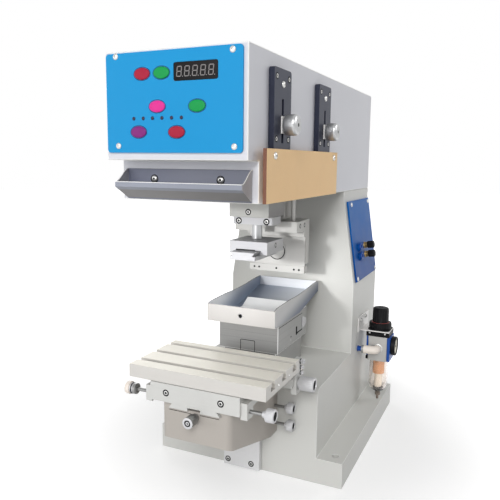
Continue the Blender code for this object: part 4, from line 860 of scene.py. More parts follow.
def makePanel():
    # key outlines, lamps and screws
    look = {"screws": ((-0.0768, 0.5940), (0.0757, 0.5924), (-0.0751, 0.4919), (0.0780, 0.4907)),
            "screw": (3.7 * mm, 1.5 * mm, 0.3 * mm), "outlineInside": 0.9 * mm, "outlineOutside": 2.4 * mm,
            "outlineProud": 0.10 * mm, "lamps": (-0.0527, -0.0395, -0.0268, -0.0141, -0.0012, 0.0117),
            "lampHeight": 0.5231, "lampSides": 24,
            "lamp": ((0, 0), (0, 1.75 * mm), (0.5 * mm, 1.7 * mm), (0.9 * mm, 1.1 * mm), (1.0 * mm, 0)),
            "lampRing": ((0, 1.7 * mm), (0, 2.3 * mm), (0.25 * mm, 2.2 * mm), (0.25 * mm, 1.7 * mm))}
    dressNode("control_panel", soft=0.0003)
    dressNode("display_window", soft=0.0002)
    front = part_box("control_panel")[0].y
    inside, outside = look["outlineInside"], look["outlineOutside"]
    outlines = []
    for key in keyPieces:
        low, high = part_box(key)
        centre = (low + high) / 2
        wide, tall = high.x - low.x, high.z - low.z
        outlines.append(slab(ellipse(wide + outside, tall + outside), look["outlineProud"],
                             (centre.x, front, centre.z), toFront,
                             hole=ellipse(wide + inside, tall + inside)))
    addPiece("key_outlines", together(*outlines), keyOutline, "machine")
    lamps, rings = [together(*[turned(look[part], (x, front, look["lampHeight"]), toFront, look["lampSides"])
                               for x in look["lamps"]]) for part in ("lamp", "lampRing")]
    addPiece("status_lamps", [(lamps, ledPlastic), (rings, keyOutline)], None, "machine")
    domeScrews("panel_screws", [(x, front, z) for x, z in look["screws"]], toFront, look["screw"])


def makeDigits():
    # five plain seven-bar digits, all bars unlit, each with its dot
    look = {"count": 5, "wide": 5.6 * mm, "tall": 10.6 * mm, "pitch": 10.1 * mm, "shift": 0.6 * mm,
            "lean": 0.10, "bar": 0.95 * mm, "barGap": 0.15, "dot": 1.2 * mm, "dotAway": 1.5 * mm,
            "proud": 0.10 * mm}
    low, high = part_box("display_window")
    middle = (low + high) / 2
    origin = (0, low.y, middle.z)
    wide, tall, bar = look["wide"] / 2, look["tall"] / 2, look["bar"]
    bars = []

    def barShape(x0, z0, x1, z1):
        # a bar with pointed ends between two points
        start, end = Vector((x0, z0)), Vector((x1, z1))
        along = (end - start).normalized()
        across = Vector((-along.y, along.x)) * bar / 2
        start, end = start + along * bar * look["barGap"], end - along * bar * look["barGap"]
        inner = along * bar / 2
        return [start, start + inner - across, end - inner - across, end, end - inner + across,
                start + inner + across]

    for index in range(look["count"]):
        x = middle.x + (index - (look["count"] - 1) / 2) * look["pitch"] - look["shift"]
        for ends in ((-wide, tall, wide, tall), (-wide, 0, wide, 0), (-wide, -tall, wide, -tall),
                     (-wide, 0, -wide, tall), (wide, 0, wide, tall), (-wide, -tall, -wide, 0),
                     (wide, -tall, wide, 0)):
            outline = [(x + p.x + p.y * look["lean"], p.y) for p in barShape(*ends)]
            bars.append(slab(outline, look["proud"], origin, toFront))
        dot = [(x + wide + look["dotAway"] + px, -tall + pz)
               for px, pz in ellipse(look["dot"], look["dot"], 12)]
        bars.append(slab(dot, look["proud"], origin, toFront))
    addPiece("display_digits", together(*bars), digitPlastic, "machine")


def makeKeys():
    # oval keys with a crowned top; each crown ring has a share of the oval and of the crown's height
    look = {"crown": 1.0 * mm, "rings": ((1.0, 0), (0.985, 0.25), (0.95, 0.5), (0.86, 0.75), (0.68, 0.92),
                                         (0.40, 1))}
    for key, body in keyPieces.items():
        low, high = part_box(key)
        middle = (low + high) / 2
        oval = ellipse(high.x - low.x, high.z - low.z, 48)
        levels = [(1.0, 0.0)] + [(share, high.y - low.y + look["crown"] * rise)
                                 for share, rise in look["rings"]]
        rings = [[Vector((middle.x + px * share, high.y - rise, middle.z + pz * share)) for px, pz in oval]
                 for share, rise in levels]
        slotName = slotOf(key)
        addPiece(key + "_cap", stacked(rings), finishes[slotName], body, replaces=(key,),
                 sharp=50)


makeKeys()
makePanel()
makeDigits()
print("control panel made")


# Parts bin, guard plate and the stroke setting on the head's right side
def makeHeadFittings():
    look = {"lip": 0.0217, "rim": 0.55 * mm, "binWall": 1.5 * mm, "binScrews": (-0.0456, 0.0456),
            "binScrewHeight": 0.4533, "binScrew": (4.2 * mm, 2.0 * mm), "seatHeight": 0.4531,
            "seat": 5.3 * mm, "guardScrews": ((-0.3316, 0.4818), (-0.1016, 0.4818)),
            "guardScrew": (4.3 * mm, 2.0 * mm, 0.5 * mm), "plateScrewHeight": 0.5648,
            "plateScrew": (4.0 * mm, 2.2 * mm, 0.4 * mm), "cornerScrew": 2.5 * mm, "fromSides": 8 * mm,
            "fromBottom": 13.5 * mm, "fromTop": 10 * mm}
    dressNode("parts_bin", soft=0.0003)
    dressNode("guard_plate", soft=0.0003)
    low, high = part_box("parts_bin")
    # painted highlight: a thin pale tube along the bin's rim
    lip, inset = low.z + look["lip"], look["rim"] * 0.6
    curve = [(low.y + (high.y - low.y) * s, lip + (high.z - lip) * s * s * (3 - 2 * s))
             for s in (i / 10 for i in range(11))]
    path = [(low.x + inset, y + inset, z) for y, z in reversed(curve)]
    path += [(high.x - inset, y + inset, z) for y, z in curve]
    addPiece("parts_bin_rim_highlight", tubeAlong(path, look["rim"], 10), paintedEdgeHighlight, "machine")
    binFace = high.y - look["binWall"]
    domeScrews("parts_bin_screws", [(x, binFace, look["binScrewHeight"]) for x in look["binScrews"]], toFront,
               look["binScrew"])
    # painted shade: a dark disc round each bin screw
    seats = [turned(disc(-0.3 * mm, 0.25 * mm, look["seat"]), (x, binFace, look["seatHeight"]), toFront, 36)
             for x in look["binScrews"]]
    addPiece("parts_bin_screw_shade", together(*seats), shadeAndJointDark, "machine")
    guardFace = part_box("guard_plate")[1].x
    domeScrews("guard_screws", [(guardFace, y, z) for y, z in look["guardScrews"]], toRight,
               look["guardScrew"])
    for side in ("front", "rear"):
        plate = "stroke_plate_" + side
        dressNode(plate, soft=0.0004)
        dressNode("stroke_slider_" + side, sliderWhite, soft=0.0003)
        low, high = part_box(plate)
        domeScrews("stroke_plate_screw_" + side, [(high.x, (low.y + high.y) / 2, look["plateScrewHeight"])],
                   toRight, look["plateScrew"])
        corners = [(high.x, y, z) for y in (low.y + look["fromSides"], high.y - look["fromSides"])
                   for z in (low.z + look["fromBottom"], high.z - look["fromTop"])]
        sunkScrews("stroke_plate_corner_screws_" + side, corners, toRight, look["cornerScrew"], "machine")
        makeStrokeKnob(side)


def makeStrokeKnob(side):
    look = {"teeth": 48, "depth": 0.22 * mm, "recess": 3 * mm}
    node = "stroke_knob_" + side
    centre, long, reach = pointsRight(node)
    knurl, floor = (look["teeth"], look["depth"]), long - look["recess"]
    # foot, knurled grip, rounded end and the recess in it
    profile = [(0, 0), (0, reach * 0.66), (1.6 * mm, reach * 0.66), (1.8 * mm, reach * 0.88),
               (2.6 * mm, reach * 0.97), (3.6 * mm, reach, knurl), (long - 4.4 * mm, reach, knurl),
               (long - 3.0 * mm, reach * 0.98), (long - 1.4 * mm, reach * 0.91),
               (long - 0.4 * mm, reach * 0.78), (long, reach * 0.62), (long, reach * 0.16),
               (floor, reach * 0.15), (floor, 0)]
    # painted shade: a dark disc over the recess in the knob's end
    hole = disc(long - 0.1 * mm, long + 0.04 * mm, reach * 0.17)
    addPiece(node + "_knurled", [(turned(profile, centre, toRight, look["teeth"] * 4), steel),
                                 (turned(hole, centre, toRight, 20), shadeAndJointDark)], None, side + "_stroke_knob",
             replaces=(node,), sharp=28)


makeHeadFittings()
print("head fittings made")


# Shuttle, carriage and the two heads
for name in ("rod_mount_front", "shuttle_cylinder", "carriage", "blade_lift_bar"):
    dressNode(name, soft=0.0005)
dressNode("pad_cylinder", blockPaintedShadeMetal, soft=0.0005)
for name in ("pad_cylinder_end_plate", "pad_holder_block", "pad_plate"):
    dressNode(name, holderPaintedShadeMetal, soft=0.0005)
for name in ("guide_rod_left", "guide_rod_right", "shuttle_piston_rod", "pad_piston_rod"):
    dressNode(name, soft=0.0002)
dressNode("blade_holder", soft=0.0002)
dressNode("doctor_blade", soft=0.0001)


def makeHeadScrews():
    look = {"cylinder": (-0.0009, 0.4013), "cylinderScrew": 2.9 * mm,
            "endPlate": ((-0.0230, 0.3864), (0.0226, 0.3864)), "endPlateScrew": 3.1 * mm,
            "holder": (-0.1411, 0.3500), "holderScrew": 2.4 * mm,
            "slot": (-0.0200, 0.0115), "slotRise": (0.3 * mm, 1.6 * mm),
            "bar": ((-0.0730, 0.3757), (-0.0935, 0.3757)), "barScrew": 2.3 * mm}
    for name, node, spots in (("pad_cylinder_screw", "pad_cylinder", (look["cylinder"],)),
                              ("end_plate_screws", "pad_cylinder_end_plate", look["endPlate"])):
        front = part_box(node)[0].y
        reach = look["cylinderScrew"] if node == "pad_cylinder" else look["endPlateScrew"]
        sunkScrews(name, [(x, front, z) for x, z in spots], toFront, reach, "carriage")
    holderLow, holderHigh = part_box("pad_holder_block")
    sunkScrews("holder_clamp_screw", [(holderHigh.x,) + look["holder"]], toRight, look["holderScrew"],
               "pad_head")
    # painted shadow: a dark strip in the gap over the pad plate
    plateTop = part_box("pad_plate")[1].z
    (left, right), (bottom, top) = look["slot"], look["slotRise"]
    gap = brick((left, holderLow.y - 0.10 * mm, plateTop + bottom),
                (right, holderLow.y + 0.3 * mm, plateTop + top))
    addPiece("holder_slot_shadow", gap, shadeAndJointDark, "pad_head")
    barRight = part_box("blade_lift_bar")[1].x
    for side, label in ((-1, "left"), (1, "right")):
        sunkScrews("blade_bar_screws_" + label, [(side * barRight, y, z) for y, z in look["bar"]],
                   (side, 0, 0), look["barScrew"], "blade_head")


def makeBladeFittings():
    # painted shadow: a fine dark circle round the pivot seat on the blade plate; painted shade: dark discs in
    # the holes of the strip below
    look = {"seat": (0.0, 0.3281), "reach": 14.0 * mm, "line": 0.6 * mm, "behindFlange": 2.0 * mm,
            "proud": 1.2 * mm, "holes": (-0.0402, -0.0314, 0.0, 0.0314, 0.0402), "holeHeight": 0.2990,
            "holeReach": 1.75 * mm}
    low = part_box("blade_holder")[0]
    front = low.y + look["behindFlange"] - look["proud"]
    circle = washer(-0.3 * mm, 0.12 * mm, look["reach"] - look["line"], look["reach"] + look["line"])
    x, z = look["seat"]
    addPiece("blade_pivot_seat_shadow", turned(circle, (x, front, z), toFront, 64), shadeAndJointDark, "blade_head")
    hole = disc(-2.0 * mm, 0.1 * mm, look["holeReach"])
    holes = [turned(hole, (x, low.y, look["holeHeight"]), toFront, 28) for x in look["holes"]]
    addPiece("blade_strip_hole_shade", together(*holes), shadeAndJointDark, "blade_head")


makeHeadScrews()
makeBladeFittings()
print("print head and blade head dressed")


# Ink tray, cliche bed and pedestal
dressNode("ink_tray", soft=0.0004)
dressNode("cliche_bed", bedPaintedLightSteel, soft=0.0004)
# the pedestal's rounded edges carry a painted highlight
dressNode("tray_pedestal", pedestalMetal, soft=0.0010, segments=3, edge=paintedEdgeHighlight)


def makeTrayRims():
    # painted shade: a dark line along the rolled top of each side wall, and a dark disc for the hole in the
    # front
    look = {"shares": ((0.0, 0.0), (0.05, 0.26), (0.28, 0.42), (0.50, 0.40), (0.68, 0.58), (0.88, 0.93),
                       (1.0, 1.0)),
            "frontRise": 25.5 * mm, "radius": 0.28 * mm, "leftInset": 0.4 * mm, "rightInset": 1.9 * mm,
            "hole": (0.0, 0.2493), "holeReach": 2.75 * mm}
    low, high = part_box("ink_tray")
    lines = []
    for x in (low.x + look["leftInset"], high.x - look["rightInset"]):
        path = [(x, low.y + (high.y - low.y) * along, low.z + look["frontRise"]
                 + (high.z - low.z - look["frontRise"]) * rise) for along, rise in look["shares"]]
        lines.append(tubeAlong(path, look["radius"], 8))
    addPiece("ink_tray_rim_shade_lines", together(*lines), shadeAndJointDark, "machine")
    x, z = look["hole"]
    hole = turned(disc(-0.3 * mm, 0.06 * mm, look["holeReach"]), (x, low.y, z), toFront, 32)
    addPiece("ink_tray_hole_shade", hole, shadeAndJointDark, "machine")


def makePedestalMarks():
    # groove in front; seams, slot, rim line, pin and tab on the right. The groove, slot, hole and rim line are
    # painted shade: dark strips and discs where shade falls
    look = {"groove": 0.9 * mm, "grooveProud": 0.12 * mm, "corner": 1.2 * mm, "left": -0.0125,
            "right": 0.0113, "top": 0.2048, "foot": 0.041, "seams": (0.2073, 0.2175), "seamTall": 0.35 * mm,
            "seamProud": 0.08 * mm, "seamSunk": 0.05 * mm, "seamEnds": 1.2 * mm, "seamStart": 1.4 * mm,
            "seamRear": -0.0960, "markProud": 0.1 * mm,
            "slot": ((-0.0940, 0.2125), (-0.0882, 0.2118), (-0.0882, 0.2020), (-0.0640, 0.2020),
                     (-0.0640, 0.2003), (-0.0850, 0.1998), (-0.0905, 0.1978), (-0.0940, 0.1990)),
            "rim": ((-0.1700, 0.2290), (-0.0650, 0.2290), (-0.0650, 0.2282), (-0.1700, 0.2282)),
            "hole": (-0.1160, 0.2018), "pin": (-0.1174, 0.1966), "pinReach": 1.5 * mm, "tabThick": 2.0 * mm,
            "tab": ((-0.0665, 0.2236), (-0.0665, 0.2040), (-0.0560, 0.2056), (-0.0500, 0.2100),
                    (-0.0500, 0.2170))}
    low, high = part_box("tray_pedestal")
    front, side = low.y, high.x
    left, right, top, corner = look["left"], look["right"], look["top"], look["corner"]
    bottom = low.z + look["foot"]
    turns = [math.pi / 2 * step / 5 for step in range(6)]
    run = [(left, bottom), (left, top - corner)]
    run += [(left + corner - corner * math.cos(a), top - corner + corner * math.sin(a)) for a in turns[1:]]
    run += [(right - corner + corner * math.sin(a), top - corner + corner * math.cos(a)) for a in turns]
    run.append((right, bottom))
    outer, inner = [], []
    for index, point in enumerate(run):
        ahead = Vector(run[min(index + 1, len(run) - 1)]) - Vector(run[max(index - 1, 0)])
        ahead.normalize()
        across = Vector((-ahead.y, ahead.x)) * look["groove"] / 2
        outer.append(Vector(point) + across)
        inner.append(Vector(point) - across)
    outline = [(p.x, p.y - low.z) for p in outer] + [(p.x, p.y - low.z) for p in reversed(inner)]
    addPiece("pedestal_groove_shade", slab(outline, look["grooveProud"], (0, front, low.z), toFront), shadeAndJointDark,
             "machine")
    seams = [brick((low.x + look["seamEnds"], front - look["seamProud"], z),
                   (high.x - look["seamEnds"], front + look["seamSunk"], z + look["seamTall"]))
             for z in look["seams"]]
    seams += [brick((side - look["seamSunk"], front + look["seamStart"], z),
                    (side + look["seamProud"], look["seamRear"], z + look["seamTall"]))
              for z in look["seams"]]
    addPiece("pedestal_seams", together(*seams), darkSteel, "machine")
    marks = [slab(look["slot"], look["markProud"], (side, 0, 0), toRight),
             turned(disc(0, look["markProud"], look["pinReach"]), (side,) + look["hole"], toRight, 20),
             slab(look["rim"], look["markProud"], (side, 0, 0), toRight)]
    addPiece("pedestal_side_shade_marks", together(*marks), shadeAndJointDark, "machine")
    pin = [(0, 0), (0, look["pinReach"]), (0.5 * mm, 1.2 * mm), (0.5 * mm, 0)]
    addPiece("pedestal_side_pin", turned(pin, (side,) + look["pin"], toRight, 20), nickel, "machine")
    addPiece("pedestal_tab", slab(look["tab"], look["tabThick"], (side, 0, 0), toRight), brightSatin,
             "machine", soft=0.0003)


makeTrayRims()
makePedestalMarks()
print("ink side made")


# Work table, saddle, knee and their screws
dressNode("work_table", soft=0.0004)
dressNode("saddle", soft=0.0005)
dressNode("knee", soft=0.0006)
dressNode("knee_rail", railMetal, soft=0.0004)


def feedKnobProfile(start, reach, long, knurl):
    # knurled knob with a shallow recess in its end
    end = start + long
    return [(start, reach * 0.80), (start + 0.8 * mm, reach * 0.97), (start + 1.2 * mm, reach, knurl),
            (end - 1.2 * mm, reach, knurl), (end - 0.7 * mm, reach * 0.95), (end, reach * 0.86),
            (end, reach * 0.70), (end - 1.0 * mm, reach * 0.66), (end - 1.0 * mm, 0)]


def makeFeedScrewX():
    # lengths back from the screw's right end (collar, knob) and left end (sleeve, neck, band, cap)
    look = {"teeth": 36, "depth": 0.4 * mm, "shaft": 2.5 * mm, "collar": 17 * mm, "knob": 12 * mm,
            "sleeve": 17.5 * mm, "neck": 12.4 * mm, "band": (10.6 * mm, 9.4 * mm), "cap": 7.4 * mm}
    low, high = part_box("x_feed_screw")
    start = Vector((0, (low.y + high.y) / 2, (low.z + high.z) / 2))
    reach, shaft = (high.z - low.z) / 2, look["shaft"]
    collarAt, knobAt = high.x - look["collar"], high.x - look["knob"]
    right = disc(0, collarAt, shaft)
    collar = [(collarAt, 0), (collarAt, 3.6 * mm), (high.x - 16 * mm, 4.3 * mm), (knobAt, 4.3 * mm),
              (knobAt, 0)]
    grip = [(knobAt, 0)] + feedKnobProfile(knobAt, reach, look["knob"], (look["teeth"], look["depth"]))
    # painted shade: a dark disc in the recess of the knob's end
    hollow = disc(high.x - 0.9 * mm, high.x - 0.5 * mm, reach * 0.64)
    end = -low.x
    sleeveAt, neckAt, capAt = end - look["sleeve"], end - look["neck"], end - look["cap"]
    bandFrom, bandTo = end - look["band"][0], end - look["band"][1]
    left = [(0, 0), (0, shaft), (sleeveAt, shaft), (sleeveAt, reach * 0.62),
            (sleeveAt + 1.2 * mm, reach * 0.86), (neckAt, reach * 0.86), (neckAt, 0)]
    band = disc(bandFrom, bandTo, reach * 0.88)
    neck = [(neckAt, 0), (neckAt, reach * 0.86), (bandFrom, reach * 0.80), (bandTo, reach * 0.80),
            (capAt, reach * 0.84), (capAt, 0)]
    cap = [(capAt, 0), (capAt, reach * 0.95), (end - 6.6 * mm, reach), (end - 1.6 * mm, reach),
           (end - 0.5 * mm, reach * 0.93), (end, reach * 0.78), (end, 0)]
    knob = together(turned(collar, start, toRight, 48), turned(grip, start, toRight, look["teeth"] * 4))
    addPiece("x_feed_screw_knurled", [(turned(right, start, toRight, 48), darkSteel), (knob, brightSatin),
                                      (turned(hollow, start, toRight, 48), shadeAndJointDark),
                                      (turned(left, start, toLeft, 48), darkSteel),
                                      (turned(band, start, toLeft, 48), black),
                                      (turned(neck, start, toLeft, 48), brightSatin),
                                      (turned(cap, start, toLeft, 48), white)], None, "x_screw",
             replaces=("x_feed_screw",), sharp=28)


def makeFeedScrewY():
    look = {"reach": 7.5 * mm, "knob": 15 * mm, "shaft": 3.5 * mm, "collar": 21 * mm, "collarReach": 5.5 * mm}
    low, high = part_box("y_feed_screw")
    start = Vector((0, high.y, (low.z + high.z) / 2))
    total, reach, shaft, ring = high.y - low.y, look["reach"], look["shaft"], look["collarReach"]
    collarAt, knobAt, faceAt = total - look["collar"], total - look["knob"], total - 1.0 * mm
    barrel = [(0, 0), (0, shaft), (collarAt, shaft), (collarAt, ring), (knobAt, ring), (knobAt, reach * 0.9),
              (knobAt + 0.8 * mm, reach), (faceAt, reach), (faceAt, 0)]
    face = [(faceAt, 0), (faceAt, reach), (total - 0.3 * mm, reach * 0.96), (total, reach * 0.88),
            (total, reach * 0.62), (total - 0.4 * mm, reach * 0.59), (total - 0.9 * mm, reach * 0.58),
            (total - 0.9 * mm, 0)]
    hub = [(total - 0.9 * mm, 0), (total - 0.9 * mm, reach * 0.36), (total - 0.2 * mm, reach * 0.33),
           (total - 0.2 * mm, reach * 0.17, "hex"), (total - 0.8 * mm, reach * 0.16, "hex"),
           (total - 0.8 * mm, 0)]
    # painted shade: a dark ring in the well between the face and the hub
    shadeWell = disc(total - 0.95 * mm, total - 0.80 * mm, reach * 0.57)
    addPiece("y_feed_screw_turned", [(turned(barrel, start, toFront, 72), darkSteel),
                                     (turned(face, start, toFront, 72), brightSatin),
                                     (turned(hub, start, toFront, 48), brightSatin),
                                     (turned(shadeWell, start, toFront, 48), shadeAndJointDark)], None, "y_screw",
             replaces=("y_feed_screw",), sharp=28)


def makeThumbScrews():
    look = {"teeth": 30, "depth": 0.45 * mm, "thumbKnob": 23.7 * mm, "thumbShaft": 4 * mm,
            "clampKnob": 10.5 * mm, "clampShaft": 2.2 * mm, "clampCollar": 3.5 * mm}
    knurl, sides = (look["teeth"], look["depth"]), look["teeth"] * 4
    centre, total, reach = pointsRight("rear_thumb_screw")
    neck, shaft = total - look["thumbKnob"], look["thumbShaft"]
    profile = [(0, 0), (0, shaft), (neck, shaft), (neck, reach * 0.7), (neck + 2 * mm, reach * 0.7),
               (neck + 2.6 * mm, reach * 0.95), (neck + 3.2 * mm, reach, knurl),
               (total - 1.5 * mm, reach, knurl), (total - 0.8 * mm, reach * 0.95), (total, reach * 0.86),
               (total, reach * 0.72), (total - 1.2 * mm, reach * 0.68), (total - 1.2 * mm, 0)]
    # painted shade: a dark disc in the recess of the knob's end
    hollow = disc(total - 1.25 * mm, total - 1.1 * mm, reach * 0.67)
    addPiece("rear_thumb_screw_knurled", [(turned(profile, centre, toRight, sides), brightSatin),
                                          (turned(hollow, centre, toRight, 48), shadeAndJointDark)], None,
             "thumb_screw", replaces=("rear_thumb_screw",), sharp=28)
    for name, body in (("knee_clamp_upper", "upper_knee_clamp"), ("knee_clamp_lower", "lower_knee_clamp")):
        centre, total, reach = pointsRight(name)
        knob = total - look["clampKnob"]
        collar = knob - look["clampCollar"]
        grip = [(collar, 0), (collar, 3.6 * mm), (knob - 2.6 * mm, 4.5 * mm), (knob - 1.2 * mm, 4.5 * mm),
                (knob - 0.8 * mm, 3.8 * mm), (knob, 3.8 * mm), (knob, reach * 0.80),
                (knob + 0.8 * mm, reach * 0.97), (knob + 1.4 * mm, reach, knurl),
                (total - 1.5 * mm, reach, knurl), (total - 0.8 * mm, reach * 0.94), (total, reach * 0.84),
                (total, reach * 0.66), (total - 0.8 * mm, reach * 0.62), (total - 0.8 * mm, 0)]
        # painted shade: a dark disc in the recess of each clamp knob's end
        rod, face = disc(0, collar, look["clampShaft"]), disc(total - 0.85 * mm, total - 0.7 * mm, reach * 0.61)
        addPiece(name + "_knurled", [(turned(rod, centre, toRight, 32), darkSteel),
                                     (turned(grip, centre, toRight, sides), brightSatin),
                                     (turned(face, centre, toRight, 48), shadeAndJointDark)], None, body,
                 replaces=(name,), sharp=28)


def makeWorkSideScrews():
    # an ear screw has its y, its z, its radius and its length
    look = {"screw": 2.9 * mm, "saddle": ((-0.0418, 0.1732), (0.0392, 0.1732)),
            "rail": ((-0.0268, 0.0111), (0.0131, 0.0111)),
            "line": ((-0.0398, -0.0064), (0.0064, 0.0346)), "lineHeight": (0.1489, 0.1496),
            "ear": ((-0.1980, 0.1945, 3.6 * mm, 6.0 * mm), (-0.1975, 0.1857, 3.0 * mm, 4.0 * mm),
                    (-0.1975, 0.1775, 3.0 * mm, 4.0 * mm)), "earKnurl": (22, 0.3 * mm),
            "table": ((-0.2930, 0.1935), (-0.2550, 0.1935)), "tableScrew": 2.2 * mm}
    saddleLow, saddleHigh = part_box("saddle")
    sunkScrews("saddle_screws", [(x, saddleLow.y, z) for x, z in look["saddle"]], toFront, look["screw"],
               "saddle")
    # the joint line across the knee stops short of the Y screw's collar on both sides
    kneeFront, (bottom, top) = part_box("knee")[0].y, look["lineHeight"]
    halves = [(brick((left, kneeFront - 0.12 * mm, bottom), (right, kneeFront + 0.2 * mm, top)), shadeAndJointDark)
              for left, right in look["line"]]
    addPiece("knee_joint_line", halves, None, "knee")
    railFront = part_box("knee_rail")[0].y
    sunkScrews("rail_screws", [(x, railFront, z) for x, z in look["rail"]], toFront, look["screw"], "machine")
    earRight, knurl = saddleHigh.x, look["earKnurl"]

    def smallThumb(y, z, reach, long):
        return turned([(0, 0), (0, reach * 0.6), (1.0 * mm, reach * 0.6), (1.3 * mm, reach, knurl),
                       (long - 0.6 * mm, reach, knurl), (long, reach * 0.85), (long, reach * 0.45),
                       (long - 1 * mm, reach * 0.42), (long - 1 * mm, 0)], (earRight, y, z), toRight, 88)

    # painted shade: dark discs behind each ear screw and in the recess of its end
    def shadeDisc(y, z, reach, along):
        return turned(disc(along, along + 0.2 * mm, reach), (earRight, y, z), toRight, 32)

    seats = [shadeDisc(y, z, reach * 1.15, 0.0) for y, z, reach, long in look["ear"]]
    hollows = [shadeDisc(y, z, reach * 0.42, long - 0.95 * mm) for y, z, reach, long in look["ear"]]
    addPiece("ear_screws", [(together(*[smallThumb(*values) for values in look["ear"]]), brightSatin),
                            (together(*seats), shadeAndJointDark), (together(*hollows), shadeAndJointDark)], None, "saddle",
             sharp=28)
    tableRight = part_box("work_table")[1].x
    addPiece("table_end_screws", together(*[
        flushScrew((tableRight, y, z), toRight, look["tableScrew"]) for y, z in look["table"]]),
        nickel, "table")


makeFeedScrewX()
makeFeedScrewY()
makeThumbScrews()
makeWorkSideScrews()
print("work side made")


# Service panel, flow valves, bracket and filter regulator on the right side.
# The panel leans: the x and z of its lower and upper ends, its thickness, and the way that it looks
slant = {"low": (0.115, 0.268), "high": (0.0935, 0.412), "thick": 3.3 * mm}
slantOut = Vector((0.98904, 0, 0.14767))


def onSlant(y, z, out=0.0):
    # a point on the service panel's face at a height, and "out" from it
    (lowX, lowZ), (highX, highZ) = slant["low"], slant["high"]
    x = lowX - (z - lowZ) * (lowX - highX) / (highZ - lowZ)
    return Vector((x, y, z)) + slantOut * (slant["thick"] + out)


def makeServiceSide():
    knurl = (24, 0.5 * mm)
    look = {"screws": ((0.0392, 0.4022), (0.0286, 0.2745), (0.1590, 0.2745), (0.1560, 0.4022)),
            "screw": (3.8 * mm, 1.8 * mm, 0.3 * mm), "outlets": ((0.0545, 0.3276), (0.0545, 0.3113)),
            "boss": 3.6 * mm, "collar": (15 * mm, 12.5 * mm), "collarHole": (7.5 * mm, 6.5 * mm),
            "collarThick": 2.6 * mm,
            "valveStem": ((0, 0), (0, 6 * mm), (1 * mm, 6 * mm, "hex"), (5 * mm, 6 * mm, "hex"),
                          (5.2 * mm, 5 * mm), (6 * mm, 5 * mm), (6 * mm, 0)),
            "valveKnob": ((6 * mm, 0), (6 * mm, 5.6 * mm), (6.6 * mm, 6.5 * mm, knurl),
                          (16.6 * mm, 6.5 * mm, knurl), (17.4 * mm, 6.0 * mm), (18 * mm, 5.0 * mm),
                          (18 * mm, 2.2 * mm), (17.2 * mm, 2.0 * mm), (17.2 * mm, 0))}
    dressNode("service_panel", soft=0.0004)
    domeScrews("service_panel_screws", [onSlant(y, z) for y, z in look["screws"]], slantOut, look["screw"])
    for height in ("upper", "lower"):
        place, node = Vector(turnPlaces[height + "_flow_turn"]["pos_m"]), "flow_valve_" + height
        addPiece(node + "_turned", [(turned(look["valveStem"], place, slantOut, 96), finishes["brass"]),
                                    (turned(look["valveKnob"], place, slantOut, 96), black)], None,
                 height + "_flow_valve", replaces=(node,), sharp=28)
    # painted shade: a dark plug in each outlet's hole
    shadeWell = [(0, 0), (0, 3.5 * mm), (1.2 * mm, 3.3 * mm), (1.2 * mm, 0)]
    collars = []
    for y, z in look["outlets"]:
        centre = onSlant(y, z, look["boss"])
        collars.append((slab(ellipse(*look["collar"]), look["collarThick"], centre, slantOut,
                             hole=ellipse(*look["collarHole"])), bluePlastic))
        collars.append((turned(shadeWell, centre, slantOut, 24), shadeAndJointDark))
    addPiece("outlet_collars", collars, None, "machine", soft=0.0004)


def makeBracket():
    look = {"screws": ((0.0640, 0.1932), (0.0955, 0.1940)), "radius": 3.0 * mm, "rise": 3.0 * mm,
            "sheet": 1.8 * mm, "gusset": ((0.0547, 0.1782), (0.1082, 0.1778)), "gussetTall": 0.5 * mm,
            "gussetProud": 0.7 * mm}
    dressNode("wall_bracket", sliderWhite, soft=0.0003)
    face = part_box("wall_bracket")[0].x + look["sheet"]
    radius, rise = look["radius"], look["rise"]
    spots = [(face, y, z) for y, z in look["screws"]]
    heads = [capScrew(spot, toRight, radius, rise) for spot in spots]
    # painted shade: dark sockets in the screw heads and dark rings round them
    shadeWells = [turned(disc(rise * 0.3, rise * 0.9, radius * 0.52), spot, toRight, 24) for spot in spots]
    seats = [turned(disc(0, 0.15 * mm, radius * 1.22), spot, toRight, 32) for spot in spots]
    addPiece("bracket_screws", [(together(*heads), nickel), (together(*shadeWells, *seats), shadeAndJointDark)], None,
             "machine")
    # the bracket's gusset, drawn as a thin pale strip that is a painted highlight on its edge
    (y0, z0), (y1, z1) = look["gusset"]
    outline = [(y0, z0), (y1, z1), (y1, z1 + look["gussetTall"]), (y0, z0 + look["gussetTall"])]
    addPiece("bracket_rib_highlight", slab(outline, look["gussetProud"], (face, 0, 0), toRight), paintedEdgeHighlight, "machine")


